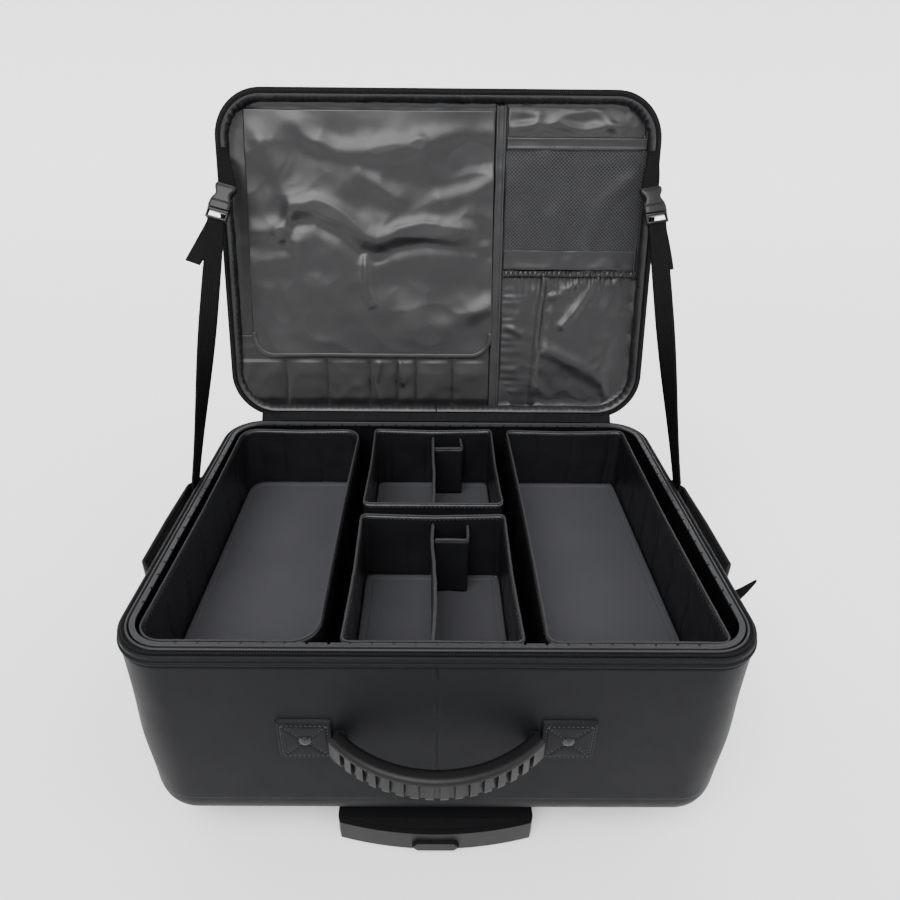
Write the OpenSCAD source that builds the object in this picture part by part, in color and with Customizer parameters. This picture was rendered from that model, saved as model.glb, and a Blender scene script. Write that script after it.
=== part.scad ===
// Rolling makeup case: soft padded body with lift-out trays, a lid held open by two
// buckled webbing straps, a carry handle, and a telescopic trolley with two wheels.
// Millimetres. +Z is up, the hinge is at the back (+Y), the floor is at z = 0.

/* [Body] */
// Outer width of the padded body
body_width = 457; // [400:1:540]
// Outer depth of the padded body, from the front wall to the hinge wall
body_depth = 341; // [300:1:400]
// Height of the body above its flat underside
body_height = 189; // [160:1:230]
// Radius of the upright corners
corner_radius = 38; // [36:1:50]
// Radius of the bottom edge
bottom_radius = 33; // [24:1:34]
// Thickness of the padded wall
wall = 9; // [7:0.5:11]
// Thickness of the sewn lining
lining = 1.5; // [1:0.1:2]

/* [Rim] */
// Height of the bead round the outer edge of a rim
bead_height = 8; // [6:0.5:10]
// How far the bead stands out from the wall
bead_proud = 1.5; // [1:0.1:2]
// Width of the zip tape on a rim
tape_width = 4.2; // [3.6:0.1:5]
// Thickness of the zip tape
tape = 0.8; // [0.6:0.1:1]
// Radius of the zip coil on its tape
coil_radius = 0.7; // [0.5:0.05:0.8]
// Radius of the piping inside the zip
piping_radius = 0.9; // [0.7:0.1:1.1]
// Height of the notched strip on the inner edge of the rim
strip_height = 1.6; // [1.2:0.1:1.7]
// Distance between two notches
notch_pitch = 15; // [10:1:20]
// Length of the back edge that the hinge takes, which has no zip
hinge_length = 350; // [300:1:360]

/* [Lid] */
// How much narrower the lid is than the body on each side
lid_inset = 1; // [0.5:0.25:2]
// Thickness of the lid
lid_thickness = 26; // [22:1:34]
// Radius of the lid's corners
lid_corner = 48; // [40:1:60]
// Angle between closed and the position that the straps allow
lid_open = 103.5; // [95:0.5:108]
// Depth of the hollow between the lid's rim and its padded lining
lid_well = 12; // [11:0.5:14]

/* [Trays] */
// Gap between the side trays and the centre trays
tray_gap = 13; // [8:1:14]
// Gap between the rear and the front centre tray
cross_gap = 12; // [8:1:24]
// Height of the trays
tray_height = 75; // [50:1:90]
// Thickness of a tray wall
tray_wall = 2.5; // [2:0.5:4]
// Depth of the rim above the tops of the trays
tray_below_rim = 1; // [1:1:20]
// Thickness of the board under the trays
deck = 5; // [3:0.5:8]

/* [Handle] */
// Distance between the two rivets of the carry handle
rivet_span = 192; // [160:1:220]
// How far the middle of the grip's axis stands off the wall
grip_arch = 30; // [26:1:40]
// Height of the grip
grip_height = 21; // [18:1:28]
// Thickness of the grip
grip_thickness = 12; // [10:1:16]
// Height of the carry handle above the flat underside
grip_level = 107; // [80:1:130]
// Length of the webbing handle on each side wall
side_handle_length = 176; // [150:1:190]

/* [Straps] */
// Width of the webbing
webbing_width = 18; // [15:1:25]
// Thickness of the webbing
webbing = 1.6; // [1.2:0.1:2]
// Distance of the upper strap ends from the lid's free edge
strap_setback = 57; // [54:1:90]
// Place of the lower strap ends, behind the middle of the body
strap_anchor = 46; // [20:1:70]
// Length of the short webbing above each buckle
strap_lead = 40; // [24:1:50]

/* [Trolley] */
// Height of the pan that the case lies on
pan_height = 24; // [22:1:30]
// Distance between the two tube centres
tube_span = 124; // [110:2:140]
// Width of the pan beside each tube
pan_margin = 20.5; // [18:0.5:35]
// How far the trolley grip extends past the tube centres
grip_overhang = 18; // [15:1:30]
// Diameter of the wheels
wheel_diameter = 50; // [46:1:54]
// Width of a wheel's tread
wheel_width = 18; // [14:1:22]
// Distance between the middles of the two wheels
wheel_span = 330; // [300:2:350]

/* [Hidden] */
$fn = 64;

// Clearances: seat is between sewn or resting pieces, slip between sliding ones.
seat = 0.3;
slip = 0.4;
far = 1000;

rim_z = pan_height + body_height;
floor_z = pan_height + wall + lining;
inner_width = body_width - 2 * (wall + lining);
inner_depth = body_depth - 2 * (wall + lining);
front_y = -body_depth / 2;
back_y = body_depth / 2;
side_x = body_width / 2;

// The hinge axis runs along the top of the back wall, between the two rims.
rim_gap = 3.7;
hinge_y = back_y + 0.5;
hinge_z = rim_z + rim_gap / 2;
hinge_radius = rim_gap / 2 - 0.35;
lid_setback = 3;
lid_width = body_width - 2 * lid_inset;
lid_length = body_depth - lid_setback;
lid_wall = 4;
lid_edge = 14;
lid_middle = lid_setback + lid_length / 2;
lid_floor = lid_thickness - lid_well;
lid_inner_half = lid_width / 2 - lid_wall - lining;
lid_inner_corner = lid_corner - lid_wall - lining;
lid_grip_back = lid_setback + lid_wall + lining;

strip_overhang = 1.5;
tray_margin = strip_overhang + 1.5;
tray_bottom_radius = tray_wall + 2;
deck_top = rim_z - tray_below_rim - tray_height;
ledge_width = 14;
ledge_height = 10;
board = 2;

tube_wall = 1.2;
outer_tube = [25, 16];
middle_tube = [for (size = outer_tube) size - 2 * (tube_wall + slip)];
inner_tube = [for (size = middle_tube) size - 2 * (tube_wall + slip)];
pan_wall = 2.5;
saddle_height = 1;
tube_z = pan_wall + saddle_height + outer_tube[1] / 2;
grip_depth = 28;
grip_front = front_y - 7;
grip_back = grip_front + grip_depth;
trolley_grip_height = pan_height - 4;
trolley_width = tube_span + 2 * grip_overhang;
bridge = 8;
pan_front = grip_back + bridge + 4;
pan_back = back_y - 53;
pan_width = tube_span + outer_tube[0] + 2 * pan_margin;

wheel_z = wheel_diameter / 2;
wheel_y = back_y + 4.5 - wheel_z;
axle_radius = 3;
well_wall = 2.5;
well_gap = 4;

// Outlines

// A rectangle with round corners, centred on the origin.
module rounded(width, depth, radius) {
    square([width - 2 * radius, depth], center = true);
    square([width, depth - 2 * radius], center = true);
    for (x = [-1, 1], y = [-1, 1])
        translate([x * (width / 2 - radius), y * (depth / 2 - radius)]) circle(radius);
}

// A ring that follows a rounded rectangle, from one inset of its outline to another.
module rounded_ring(width, depth, radius, outer, inner) {
    difference() {
        rounded(width - 2 * outer, depth - 2 * outer, radius - outer);
        rounded(width - 2 * inner, depth - 2 * inner, radius - inner);
    }
}

// Half of an upright section with a round lower corner: x from 0 to reach.
module half_section(reach, height, radius) {
    translate([0, radius]) square([reach, height - radius]);
    square([reach - radius, radius]);
    translate([reach - radius, radius]) intersection() {
        circle(radius);
        translate([0, -radius]) square(radius);
    }
}

// Sweeps an outline round a rounded rectangle; its x = 0 lies on the rectangle.
module swept_round(width, depth, radius) {
    for (side = [0 : 3]) rotate([0, 0, 90 * side]) {
        across = side % 2 == 0 ? width : depth;
        along = side % 2 == 0 ? depth : width;
        translate([across / 2, along / 2 - radius, 0])
            rotate([90, 0, 0]) linear_extrude(along - 2 * radius) children();
        translate([across / 2 - radius, along / 2 - radius, 0])
            rotate_extrude(angle = 90) translate([radius, 0]) children();
    }
}

// A solid tub with round upright corners and a round bottom edge.
module tub(width, depth, height, radius, edge) {
    for (turn = [0, 180]) rotate([0, 0, turn]) {
        translate([0, depth / 2 - radius, 0]) rotate([90, 0, 0])
            linear_extrude(depth - 2 * radius) half_section(width / 2, height, edge);
        translate([-width / 2 + radius, 0, 0]) rotate([90, 0, 90])
            linear_extrude(width - 2 * radius) half_section(depth / 2, height, edge);
    }
    for (x = [-1, 1], y = [-1, 1])
        translate([x * (width / 2 - radius), y * (depth / 2 - radius), 0])
            rotate([0, 0, x > 0 ? (y > 0 ? 0 : -90) : (y > 0 ? 90 : 180)])
                rotate_extrude(angle = 90) half_section(radius, height, edge);
}

// A box given by its two corners.
module span(low, high) {
    translate(low) cube(high - low);
}

// Mirrors its children to both sides.
module both_sides() {
    children();
    mirror([1, 0, 0]) children();
}

// Shells built from lofted points

// A closed band with a rectangular section: each ring holds four points.
module band(rings) {
    count = len(rings);
    points = [for (ring = rings) for (point = ring) point];
    sides = [for (i = [0 : count - 2]) for (k = [0 : 3])
        let (a = 4 * i + k, b = 4 * i + (k + 1) % 4)
            for (face = [[a, b, b + 4], [a, b + 4, a + 4]]) face];
    last = 4 * (count - 1);
    ends = [[0, 2, 1], [0, 3, 2], [last, last + 1, last + 2], [last, last + 2, last + 3]];
    polyhedron(points, concat(sides, ends));
}

// A sheet between two height fields over the unit square: place(u, v, top) gives a point.
module sheet(columns, rows, place) {
    row = columns + 1;
    size = row * (rows + 1);
    points = [for (top = [0, 1]) for (j = [0 : rows]) for (i = [0 : columns])
        place(i / columns, j / rows, top)];
    flats = [for (j = [0 : rows - 1]) for (i = [0 : columns - 1])
        let (a = j * row + i, b = a + 1, c = a + row, d = c + 1)
            for (face = [[a, b, d], [a, d, c],
                [size + a, size + d, size + b], [size + a, size + c, size + d]]) face];
    rim = concat([for (i = [0 : columns]) i],
        [for (j = [1 : rows]) j * row + columns],
        [for (i = [1 : columns]) rows * row + columns - i],
        [for (j = [1 : rows - 1]) (rows - j) * row]);
    edges = [for (k = [0 : len(rim) - 1])
        let (a = rim[k], b = rim[(k + 1) % len(rim)])
            for (face = [[a, size + a, size + b], [a, size + b, b]]) face];
    polyhedron(points, concat(flats, edges));
}

// Body

// The walls stand on the base along a seam above its round edge.
body_seam = pan_height + bottom_radius + 6;

module body_shell() {
    color("#2b2b2d") difference() {
        translate([0, 0, body_seam]) linear_extrude(rim_z - body_seam)
            rounded_ring(body_width, body_depth, corner_radius, 0, wall);
        translate([0, 0, rim_z - bead_height]) linear_extrude(far)
            rounded_ring(body_width, body_depth, corner_radius, -bead_height, bead_depth());
        both_sides() wheel_well(seat);
    }
}

module body_base() {
    color("#2b2b2d") difference() {
        translate([0, 0, pan_height])
            tub(body_width, body_depth, body_seam - pan_height, corner_radius, bottom_radius);
        translate([0, 0, pan_height + wall])
            tub(body_width - 2 * wall, body_depth - 2 * wall, body_height,
                corner_radius - wall, bottom_radius - wall);
        both_sides() wheel_well(seat);
    }
}

// How deep the bead sits in the wall.
function bead_depth() = bead_height / 2 - bead_proud;

// The space that a wheel housing takes at the right back corner of the body.
module wheel_well(gap) {
    half = wheel_width / 2 + well_gap + well_wall + gap;
    span([wheel_span / 2 - half, wheel_y - wheel_z - well_gap - well_wall - gap, 0],
        [wheel_span / 2 + half, far, wheel_diameter + well_gap + well_wall + gap]);
}

module body_lining() {
    depth = inner_depth + 2 * lining;
    width = inner_width + 2 * lining;
    color("#3a3a3d") difference() {
        union() {
            difference() {
                translate([0, 0, pan_height + wall])
                    tub(width, depth, body_height - wall, corner_radius - wall,
                        bottom_radius - wall);
                translate([0, 0, floor_z])
                    tub(inner_width, inner_depth, body_height, corner_radius - wall - lining,
                        bottom_radius - wall - lining);
            }
            intersection() {
                both_sides() wheel_well(seat + lining);
                translate([0, 0, pan_height + wall])
                    tub(width, depth, body_height - wall, corner_radius - wall,
                        bottom_radius - wall);
            }
        }
        both_sides() wheel_well(seat);
    }
}

// The stiff ledges on the side walls that carry the tray board.
module deck_ledges() {
    length = inner_depth - 2 * corner_radius;
    color("#3a3a3d") both_sides()
        span([inner_width / 2 - ledge_width, -length / 2, deck_top - deck - ledge_height],
            [inner_width / 2, length / 2, deck_top - deck]);
}

// The section of a rim's outer edge, with its flat back at x = 0: a flat band over a cord.
module bead_section() {
    cord = 0.2 * bead_height;
    reach = bead_height / 2;
    face = bead_depth() + 0.2;
    square([reach - cord, 2 * cord]);
    translate([reach - cord, cord]) circle(cord);
    polygon([[0, cord], [face, cord], [face, bead_height - 1], [face - 1, bead_height],
        [0, bead_height]]);
}

module rim_bead() {
    color("#222224") translate([0, 0, rim_z - bead_height])
        swept_round(body_width - 2 * bead_depth(), body_depth - 2 * bead_depth(),
            corner_radius - bead_depth()) bead_section();
}

// Keeps what lies outside the hinge's part of the back edge.
module off_the_hinge() {
    difference() {
        children();
        span([-hinge_length / 2, 0, 0], [hinge_length / 2, far, far]);
    }
}

module body_zip() {
    color("#1b1b1c") off_the_hinge() translate([0, 0, rim_z]) {
        linear_extrude(tape) rounded_ring(body_width, body_depth, corner_radius,
            bead_depth() - bead_proud + 0.5, tape_width + 0.5);
        coil_inset = 0.7 * tape_width;
        translate([0, 0, tape]) swept_round(body_width - 2 * coil_inset,
            body_depth - 2 * coil_inset, corner_radius - coil_inset)
            intersection() {
                circle(coil_radius, $fn = 24);
                translate([-coil_radius, -tape / 2]) square(far);
            }
    }
}

groove = 1.2;
notch_radius = 1.1;

// Piping and a strip with a notched inner edge, with a groove between them.
module rim_trim() {
    piping_inset = tape_width + 0.5 + seat + piping_radius;
    strip_outer = piping_inset + piping_radius + groove;
    strip_inner = wall + lining + strip_overhang;
    color("#7c7c80") {
        translate([0, 0, rim_z + piping_radius])
            swept_round(body_width - 2 * piping_inset, body_depth - 2 * piping_inset,
                corner_radius - piping_inset) circle(piping_radius, $fn = 24);
        difference() {
            translate([0, 0, rim_z]) linear_extrude(strip_height)
                rounded_ring(body_width, body_depth, corner_radius, strip_outer, strip_inner);
            for (side = [0 : 3]) rotate([0, 0, 90 * side]) {
                across = side % 2 == 0 ? body_width : body_depth;
                along = side % 2 == 0 ? body_depth : body_width;
                count = floor((along / 2 - corner_radius) / notch_pitch);
                for (k = [-count : count])
                    translate([across / 2 - strip_inner + notch_radius / 2, k * notch_pitch, 0])
                        cylinder(r = notch_radius, h = far, $fn = 16);
            }
        }
    }
}

// The fabric hinge: a roll between the two rims, on a flange that is sewn to the body.
module hinge_roll() {
    half = hinge_length / 2 - 2;
    color("#1b1b1c") {
        translate([0, hinge_y, hinge_z]) rotate([0, 90, 0])
            cylinder(r = hinge_radius, h = 2 * half, center = true);
        span([-half, back_y - tape_width - 0.5, rim_z], [half, hinge_y, rim_z + tape]);
    }
}

// Zip sliders sit on the back wall, at the two ends of the zip.
slider = [9, 7, 10];
slider_cheek = 2;
slider_x = hinge_length / 2 + slider[0] / 2 + 1;
slider_y = back_y + bead_proud + seat;
slider_top = rim_z - 1;
pull = [2, 26];
pull_pin = 1.2;
pull_y = slider_y + slider[1] - 2 * pull_pin;
pull_z = slider_top - slider[2] / 2;

module zip_sliders() {
    color("#4d4d50") for (side = [-1, 1]) translate([side * slider_x, 0, 0]) {
        difference() {
            span([-slider[0] / 2, slider_y, slider_top - slider[2]],
                [slider[0] / 2, slider_y + slider[1], slider_top]);
            span([-slider[0] / 2 + slider_cheek, slider_y + slider_cheek, -far],
                [slider[0] / 2 - slider_cheek, far, far]);
        }
        translate([0, pull_y, pull_z]) rotate([0, 90, 0])
            cylinder(r = pull_pin, h = slider[0] - slider_cheek, center = true);
    }
}

module zip_pull() {
    color("#4d4d50") translate([0, pull_y, pull_z]) rotate([90, 0, 90])
        linear_extrude(slider[0] - 2 * (slider_cheek + seat), center = true) difference() {
            union() {
                circle(pull_pin + seat + 0.9);
                translate([-pull[0] / 2, -pull[1]]) square(pull);
            }
            circle(pull_pin + seat / 2);
        }
}

module zip_pull_left() { translate([-slider_x, 0, 0]) zip_pull(); }
module zip_pull_right() { translate([slider_x, 0, 0]) zip_pull(); }

// Carry handle

handle_z = pan_height + grip_level;
patch = [42, 3, 41];
rivet_radius = 4.5;
shank_radius = 2.2;

// The grip fills the space between the patches. Radius of its axis, from chord and arch.
grip_length = rivet_span - patch[0] - 4;
grip_radius = (pow(grip_length / 2, 2) + pow(grip_arch, 2)) / (2 * grip_arch);
grip_half_angle = asin(grip_length / 2 / grip_radius);
grip_slot_count = 7;
grip_slot_width = 4.6;
grip_slot_depth = 3;

// The grip ends in two blocks against the wall, beside the patches.
module handle_grip() {
    color("#1e1e20") {
        translate([0, front_y - grip_arch - grip_thickness / 2 + grip_radius, handle_z])
            difference() {
                rotate([0, 0, -90 - grip_half_angle])
                    rotate_extrude(angle = 2 * grip_half_angle)
                        translate([grip_radius, 0])
                            rounded(grip_thickness, grip_height, 0.35 * grip_thickness);
                for (k = [-grip_slot_count : grip_slot_count])
                    rotate([0, 0, -90 + k * grip_half_angle * 0.84 / grip_slot_count])
                        translate([grip_radius + grip_thickness / 2, 0, -grip_height / 5])
                            cube([2 * grip_slot_depth, grip_slot_width, grip_height], center = true);
            }
        both_sides() span([grip_length / 2 - 6, front_y - grip_thickness - 0.6,
            handle_z - grip_height / 2 + 2],
            [rivet_span / 2 - patch[0] / 2 - seat, front_y - seat,
            handle_z + grip_height / 2 - 2]);
    }
}

module handle_patches() {
    color("#2b2b2d") difference() {
        both_sides()
            span([(rivet_span - patch[0]) / 2, front_y - patch[1], handle_z - patch[2] / 2],
                [(rivet_span + patch[0]) / 2, front_y, handle_z + patch[2] / 2]);
        for (side = [-1, 1]) translate([side * rivet_span / 2, 0, handle_z])
            rotate([90, 0, 0]) cylinder(r = shank_radius + seat, h = far);
    }
}

// Two rivets hold the handle's patches, four the corners of the pan.
module rivets() {
    color("#8c8c90") {
        for (side = [-1, 1]) translate([side * rivet_span / 2, front_y, handle_z])
            rotate([90, 0, 0]) rivet(patch[1]);
        at_pan_corners() translate([0, 0, pan_height]) rotate([180, 0, 0])
            rivet(pan_height - rivet_recess);
    }
}

// A domed head on a shank of the given length, with its root at the origin.
module rivet(length) {
    cylinder(r = shank_radius, h = length);
    translate([0, 0, length]) intersection() {
        translate([0, 0, -rivet_radius]) sphere(r = rivet_radius * sqrt(2));
        cylinder(r = rivet_radius, h = rivet_radius);
    }
}

// Side handles. The patches behind them sew the lower strap ends to the side walls.

anchor = [2.2, webbing_width + 4, 30];
side_handle_z = rim_z - bead_height - 1;
side_handle_height = 22;
side_handle_back = strap_anchor + anchor[1] / 2 + 27;
side_handle_front = side_handle_back - side_handle_length;
side_tab = 12;
side_stand = 13;
side_pad = 3.5;

// The handle's outline seen from above, on the right wall.
module side_handle_outline() {
    middle = (side_handle_front + side_handle_back) / 2;
    half = (side_handle_back - side_handle_front) / 2;
    steps = 32;
    function rise(y) = let (t = max(0, (half - side_tab - abs(y - middle)) / (half - side_tab)))
        side_stand * min(1, 4 * t) * (1 - 0.1 * abs(y - middle) / half);
    inner = [for (k = [0 : steps]) let (y = side_handle_front + k * 2 * half / steps)
        [side_x + rise(y), y]];
    outer = [for (k = [steps : -1 : 0]) let (y = side_handle_front + k * 2 * half / steps)
        [side_x + side_pad + rise(y), y]];
    polygon(concat(inner, outer));
}

module side_handle() {
    translate([0, 0, side_handle_z - side_handle_height])
        linear_extrude(side_handle_height) side_handle_outline();
}

module side_handle_left() {
    color("#38383b") mirror([1, 0, 0]) side_handle();
}

// The right handle has a loose pointed tail that curls away from its front end.
module side_handle_right() {
    reach = 18;
    rise = 14;
    color("#38383b") {
        side_handle();
        translate([side_x, side_handle_front + webbing, side_handle_z])
            rotate([90, 0, 0]) linear_extrude(webbing)
                polygon([[0, -side_handle_height], [0, 0], [side_pad, 0], [reach - 5, rise - 3],
                    [reach, rise], [reach - 6, 0], [side_pad, -side_handle_height]]);
    }
}

module strap_anchors() {
    color("#38383b") both_sides()
        span([side_x, strap_anchor - anchor[1] / 2, anchor_z() - anchor[2]],
            [side_x + anchor[0], strap_anchor + anchor[1] / 2, anchor_z()]);
}

function anchor_z() = rim_z - bead_height - 6;

// Trays

// The left tray fits close to the wall, the right one has more room beside it.
right_gap = tray_gap - 3;
tray_width = (inner_width - tray_margin - 2 * tray_gap - right_gap) / 3;
left_x = -inner_width / 2 + tray_margin + tray_width / 2;
centre_x = left_x + tray_width + tray_gap;
right_x = centre_x + tray_width + tray_gap;
tray_length = inner_depth - 2 * (tray_margin + 1);
front_length = (tray_length - cross_gap) / 2 + 4;
rear_length = tray_length - cross_gap - front_length;
rear_y = (tray_length - rear_length) / 2 + 1;
middle_y = -(tray_length - front_length) / 2;
left_tray_radius = corner_radius - wall - lining - 5.5;
right_tray_radius = left_tray_radius - 1.7 * (right_gap - tray_margin);
centre_tray_radius = 8;
bind_width = tray_wall + 0.3;
bind_height = 5;
finger_radius = 12;

// The stiff board that carries the trays, with two finger holes to lift it out.
module tray_deck() {
    color("#303033") difference() {
        translate([0, 0, deck_top - deck]) linear_extrude(deck)
            rounded(inner_width - 2 * tray_margin, inner_depth - 2 * tray_margin,
                corner_radius - wall - lining - tray_margin);
        for (side = [-1, 1]) translate([centre_x + side * (tray_width + tray_gap) / 2, 0, 0])
            cylinder(r = finger_radius, h = far);
    }
}

// A fabric tray with a bound top edge, standing on the board.
module tray(length, radius) {
    color("#333336") translate([0, 0, deck_top]) {
        difference() {
            tub(tray_width, length, tray_height - bind_height / 2, radius, tray_bottom_radius);
            translate([0, 0, tray_wall])
                tub(tray_width - 2 * tray_wall, length - 2 * tray_wall, tray_height,
                    radius - tray_wall, tray_bottom_radius - tray_wall);
        }
        translate([0, 0, tray_height - bind_height]) swept_round(tray_width - tray_wall,
            length - tray_wall, radius - tray_wall / 2) {
            translate([-bind_width / 2, 0]) square([bind_width, bind_height - bind_width / 2]);
            translate([0, bind_height - bind_width / 2]) circle(bind_width / 2, $fn = 32);
        }
    }
}

module floor_board(length, radius) {
    gap = tray_wall + 1.5;
    color("#8a8a8f") translate([0, 0, deck_top + tray_wall]) linear_extrude(board)
        rounded(tray_width - 2 * gap, length - 2 * gap, radius - gap + 1);
}

module tray_left() { translate([left_x, 0, 0]) tray(tray_length, left_tray_radius); }
module tray_right() { translate([right_x, 0, 0]) tray(tray_length, right_tray_radius); }
module tray_rear() { translate([centre_x, rear_y, 0]) tray(rear_length, centre_tray_radius); }
module tray_front() { translate([centre_x, middle_y, 0]) tray(front_length, centre_tray_radius); }
module board_left() { translate([left_x, 0, 0]) floor_board(tray_length, left_tray_radius); }
module board_right() {
    translate([right_x, 0, 0]) floor_board(tray_length, right_tray_radius);
}
module board_rear() {
    translate([centre_x, rear_y, 0]) floor_board(rear_length, centre_tray_radius);
}
module board_front() {
    translate([centre_x, middle_y, 0]) floor_board(front_length, centre_tray_radius);
}

divider = 3;
divider_drop = 8;
pocket_depth = 20;

// A long divider with a small cross pocket on its right side, near the tray's back wall.
module tray_divider(length) {
    low = deck_top + tray_wall + board;
    high = deck_top + tray_height - divider_drop;
    half = length / 2 - tray_wall - seat;
    pocket = tray_width * 0.24;
    pocket_front = half - pocket_depth - divider;
    color("#333336") {
        span([-divider / 2, -half, low], [divider / 2, half, high]);
        span([0, pocket_front, low], [pocket, pocket_front + divider, high - 4]);
        span([pocket - divider, pocket_front, low], [pocket, half, high - 4]);
    }
}

module divider_rear() { translate([centre_x, rear_y, 0]) tray_divider(rear_length); }
module divider_front() { translate([centre_x, middle_y, 0]) tray_divider(front_length); }

// Trolley

rivet_block = 14;
rivet_recess = 6;

// Puts its children at the four corners of the pan.
module at_pan_corners() {
    for (x = [-1, 1], y = [pan_front + 12, pan_back - 12])
        translate([x * (pan_width / 2 - rivet_block / 2 - 1), y, 0]) children();
}

// A box that is open at the front and above, with a block at each corner for a rivet.
module trolley_pan() {
    color("#202022") difference() {
        union() {
            difference() {
                span([-pan_width / 2, pan_front, 0], [pan_width / 2, pan_back, pan_height]);
                span([-pan_width / 2 + pan_wall, pan_front - 1, pan_wall],
                    [pan_width / 2 - pan_wall, pan_back - pan_wall, pan_height + 1]);
            }
            at_pan_corners() linear_extrude(pan_height) square(rivet_block, center = true);
            for (x = [-1, 1], y = [pan_front + 30, pan_back - 30])
                translate([x * tube_span / 2, y, 0])
                    linear_extrude(pan_wall + saddle_height) square([outer_tube[0], 12], center = true);
        }
        at_pan_corners() {
            translate([0, 0, -1]) cylinder(r = rivet_radius + 1, h = rivet_recess + 1);
            cylinder(r = shank_radius + seat, h = far);
        }
    }
}

// A rectangular tube along Y, between two ends.
module tube(size, start, end) {
    translate([0, end, tube_z]) rotate([90, 0, 0]) linear_extrude(end - start) difference() {
        square(size, center = true);
        square([size[0] - 2 * tube_wall, size[1] - 2 * tube_wall], center = true);
    }
}

outer_end = pan_back - pan_wall - 1;
middle_start = pan_front - 2;

module outer_tubes() {
    color("#6e6e73") for (x = [-1, 1]) translate([x * tube_span / 2, 0, 0])
        tube(outer_tube, pan_front, outer_end);
}

// The middle tubes are joined by a bridge in front of the pan.
module middle_tubes() {
    half = (tube_span + outer_tube[0]) / 2;
    color("#77777c") difference() {
        union() {
            for (x = [-1, 1]) translate([x * tube_span / 2, 0, 0])
                tube(middle_tube, middle_start, outer_end - 4);
            span([-half, middle_start - bridge, tube_z - outer_tube[1] / 2],
                [half, middle_start, tube_z + outer_tube[1] / 2]);
        }
        for (x = [-1, 1]) translate([x * tube_span / 2, 0, tube_z])
            cube([inner_tube[0] + 2 * slip, far, inner_tube[1] + 2 * slip], center = true);
    }
}

module inner_tubes() {
    color("#808086") for (x = [-1, 1]) translate([x * tube_span / 2, 0, 0])
        tube(inner_tube, grip_back, outer_end - 8);
}

button = [38, 8, 9];
button_travel = 3;
button_proud = 2.5;
button_z = 4 + button[2] / 2;
insert = [trolley_width - 18, 14, 1.5];
insert_border = 4;
trolley_grip_low = 2;
trolley_grip_top = trolley_grip_low + trolley_grip_height;

// The grip's front is bowed: its ends lie this far behind its middle.
trolley_bow = 10;
bow_radius = (pow(trolley_width / 2, 2) + pow(trolley_bow, 2)) / (2 * trolley_bow);

// A disc whose front is the grip's bowed front, moved back by a border.
module bow_disc(border) {
    translate([0, grip_front + bow_radius]) circle(bow_radius - border, $fn = 720);
}

// The grip's outline seen from above, with chamfered corners.
module trolley_outline() {
    half = trolley_width / 2;
    intersection() {
        bow_disc(0);
        polygon([[-half, grip_front + trolley_bow + 5], [-half + 6, grip_front],
            [half - 6, grip_front], [half, grip_front + trolley_bow + 5],
            [half, grip_back - 4], [half - 4, grip_back],
            [-half + 4, grip_back], [-half, grip_back - 4]]);
    }
}

module trolley_grip() {
    color("#1e1e20") difference() {
        translate([0, 0, trolley_grip_low]) linear_extrude(trolley_grip_height)
            trolley_outline();
        insert_space(0);
        button_space(slip);
        spring_space();
    }
}

// The recess of the glossy insert in the top of the grip, which tapers to both ends.
module insert_space(gap) {
    half = insert[0] / 2 + gap;
    translate([0, 0, trolley_grip_top - insert[2]]) linear_extrude(far) intersection() {
        bow_disc(insert_border - gap);
        translate([-half, grip_front]) square([2 * half, insert[1] + gap]);
    }
}

module grip_insert() {
    color("#55555a") intersection() {
        insert_space(-seat);
        span([-far, -far, 0], [far, far, trolley_grip_top]);
    }
}

// The push button's six-sided slot in the front of the grip.
module button_space(gap) {
    reach = button[0] / 2 + gap;
    half = button[2] / 2 + gap;
    translate([0, grip_front + button[1], button_z]) rotate([90, 0, 0])
        linear_extrude(far) polygon([[-reach, 0], [half - reach, -half], [reach - half, -half],
            [reach, 0], [reach - half, half], [half - reach, half]]);
}

module grip_button() {
    depth = button[1] - button_travel - 1;
    color("#2a2a2c") intersection() {
        button_space(0);
        span([-far, grip_front - button_proud, 0], [far, grip_front + depth, far]);
    }
}

spring_radius = 3;
spring_length = 9;

module spring_space() {
    translate([0, grip_front + button[1] - 1, button_z]) rotate([-90, 0, 0])
        cylinder(r = spring_radius + slip, h = spring_length - button_travel);
}

module button_spring() {
    start = grip_front + button[1] - button_travel - 1;
    color("#9a9aa0") translate([0, start, button_z]) rotate([-90, 0, 0]) difference() {
        cylinder(r = spring_radius, h = spring_length);
        translate([0, 0, -1]) cylinder(r = spring_radius - 1, h = far);
    }
}

// Wheels

module wheel_housings() {
    half = wheel_width / 2 + well_gap;
    color("#202022") both_sides() difference() {
        intersection() {
            wheel_well(0);
            translate([0, 0, pan_height - 6])
                tub(body_width, body_depth, body_height, corner_radius, bottom_radius);
        }
        span([wheel_span / 2 - half, wheel_y - wheel_z - well_gap, -1],
            [wheel_span / 2 + half, far, wheel_diameter + well_gap]);
        translate([0, wheel_y, wheel_z]) rotate([0, 90, 0]) cylinder(r = axle_radius, h = far);
    }
}

module wheel_axles() {
    color("#a0a0a6") for (side = [-1, 1])
        translate([side * wheel_span / 2, wheel_y, wheel_z]) rotate([0, 90, 0])
            cylinder(r = axle_radius, h = wheel_width + 2 * (well_gap + well_wall), center = true);
}

hub_radius = wheel_diameter / 2 - 7;
hub_recess = 5;

module wheel_hub() {
    color("#5b5b60") translate([0, wheel_y, wheel_z]) rotate([0, 90, 0]) difference() {
        cylinder(r = hub_radius, h = wheel_width - 4, center = true);
        cylinder(r = axle_radius + seat, h = far, center = true);
        for (end = [-1, 1]) translate([0, 0, end * (wheel_width / 2 - 2)])
            difference() {
                cylinder(r = hub_radius - 3, h = hub_recess, center = true);
                cylinder(r = axle_radius + 4, h = far, center = true);
            }
    }
}

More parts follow.
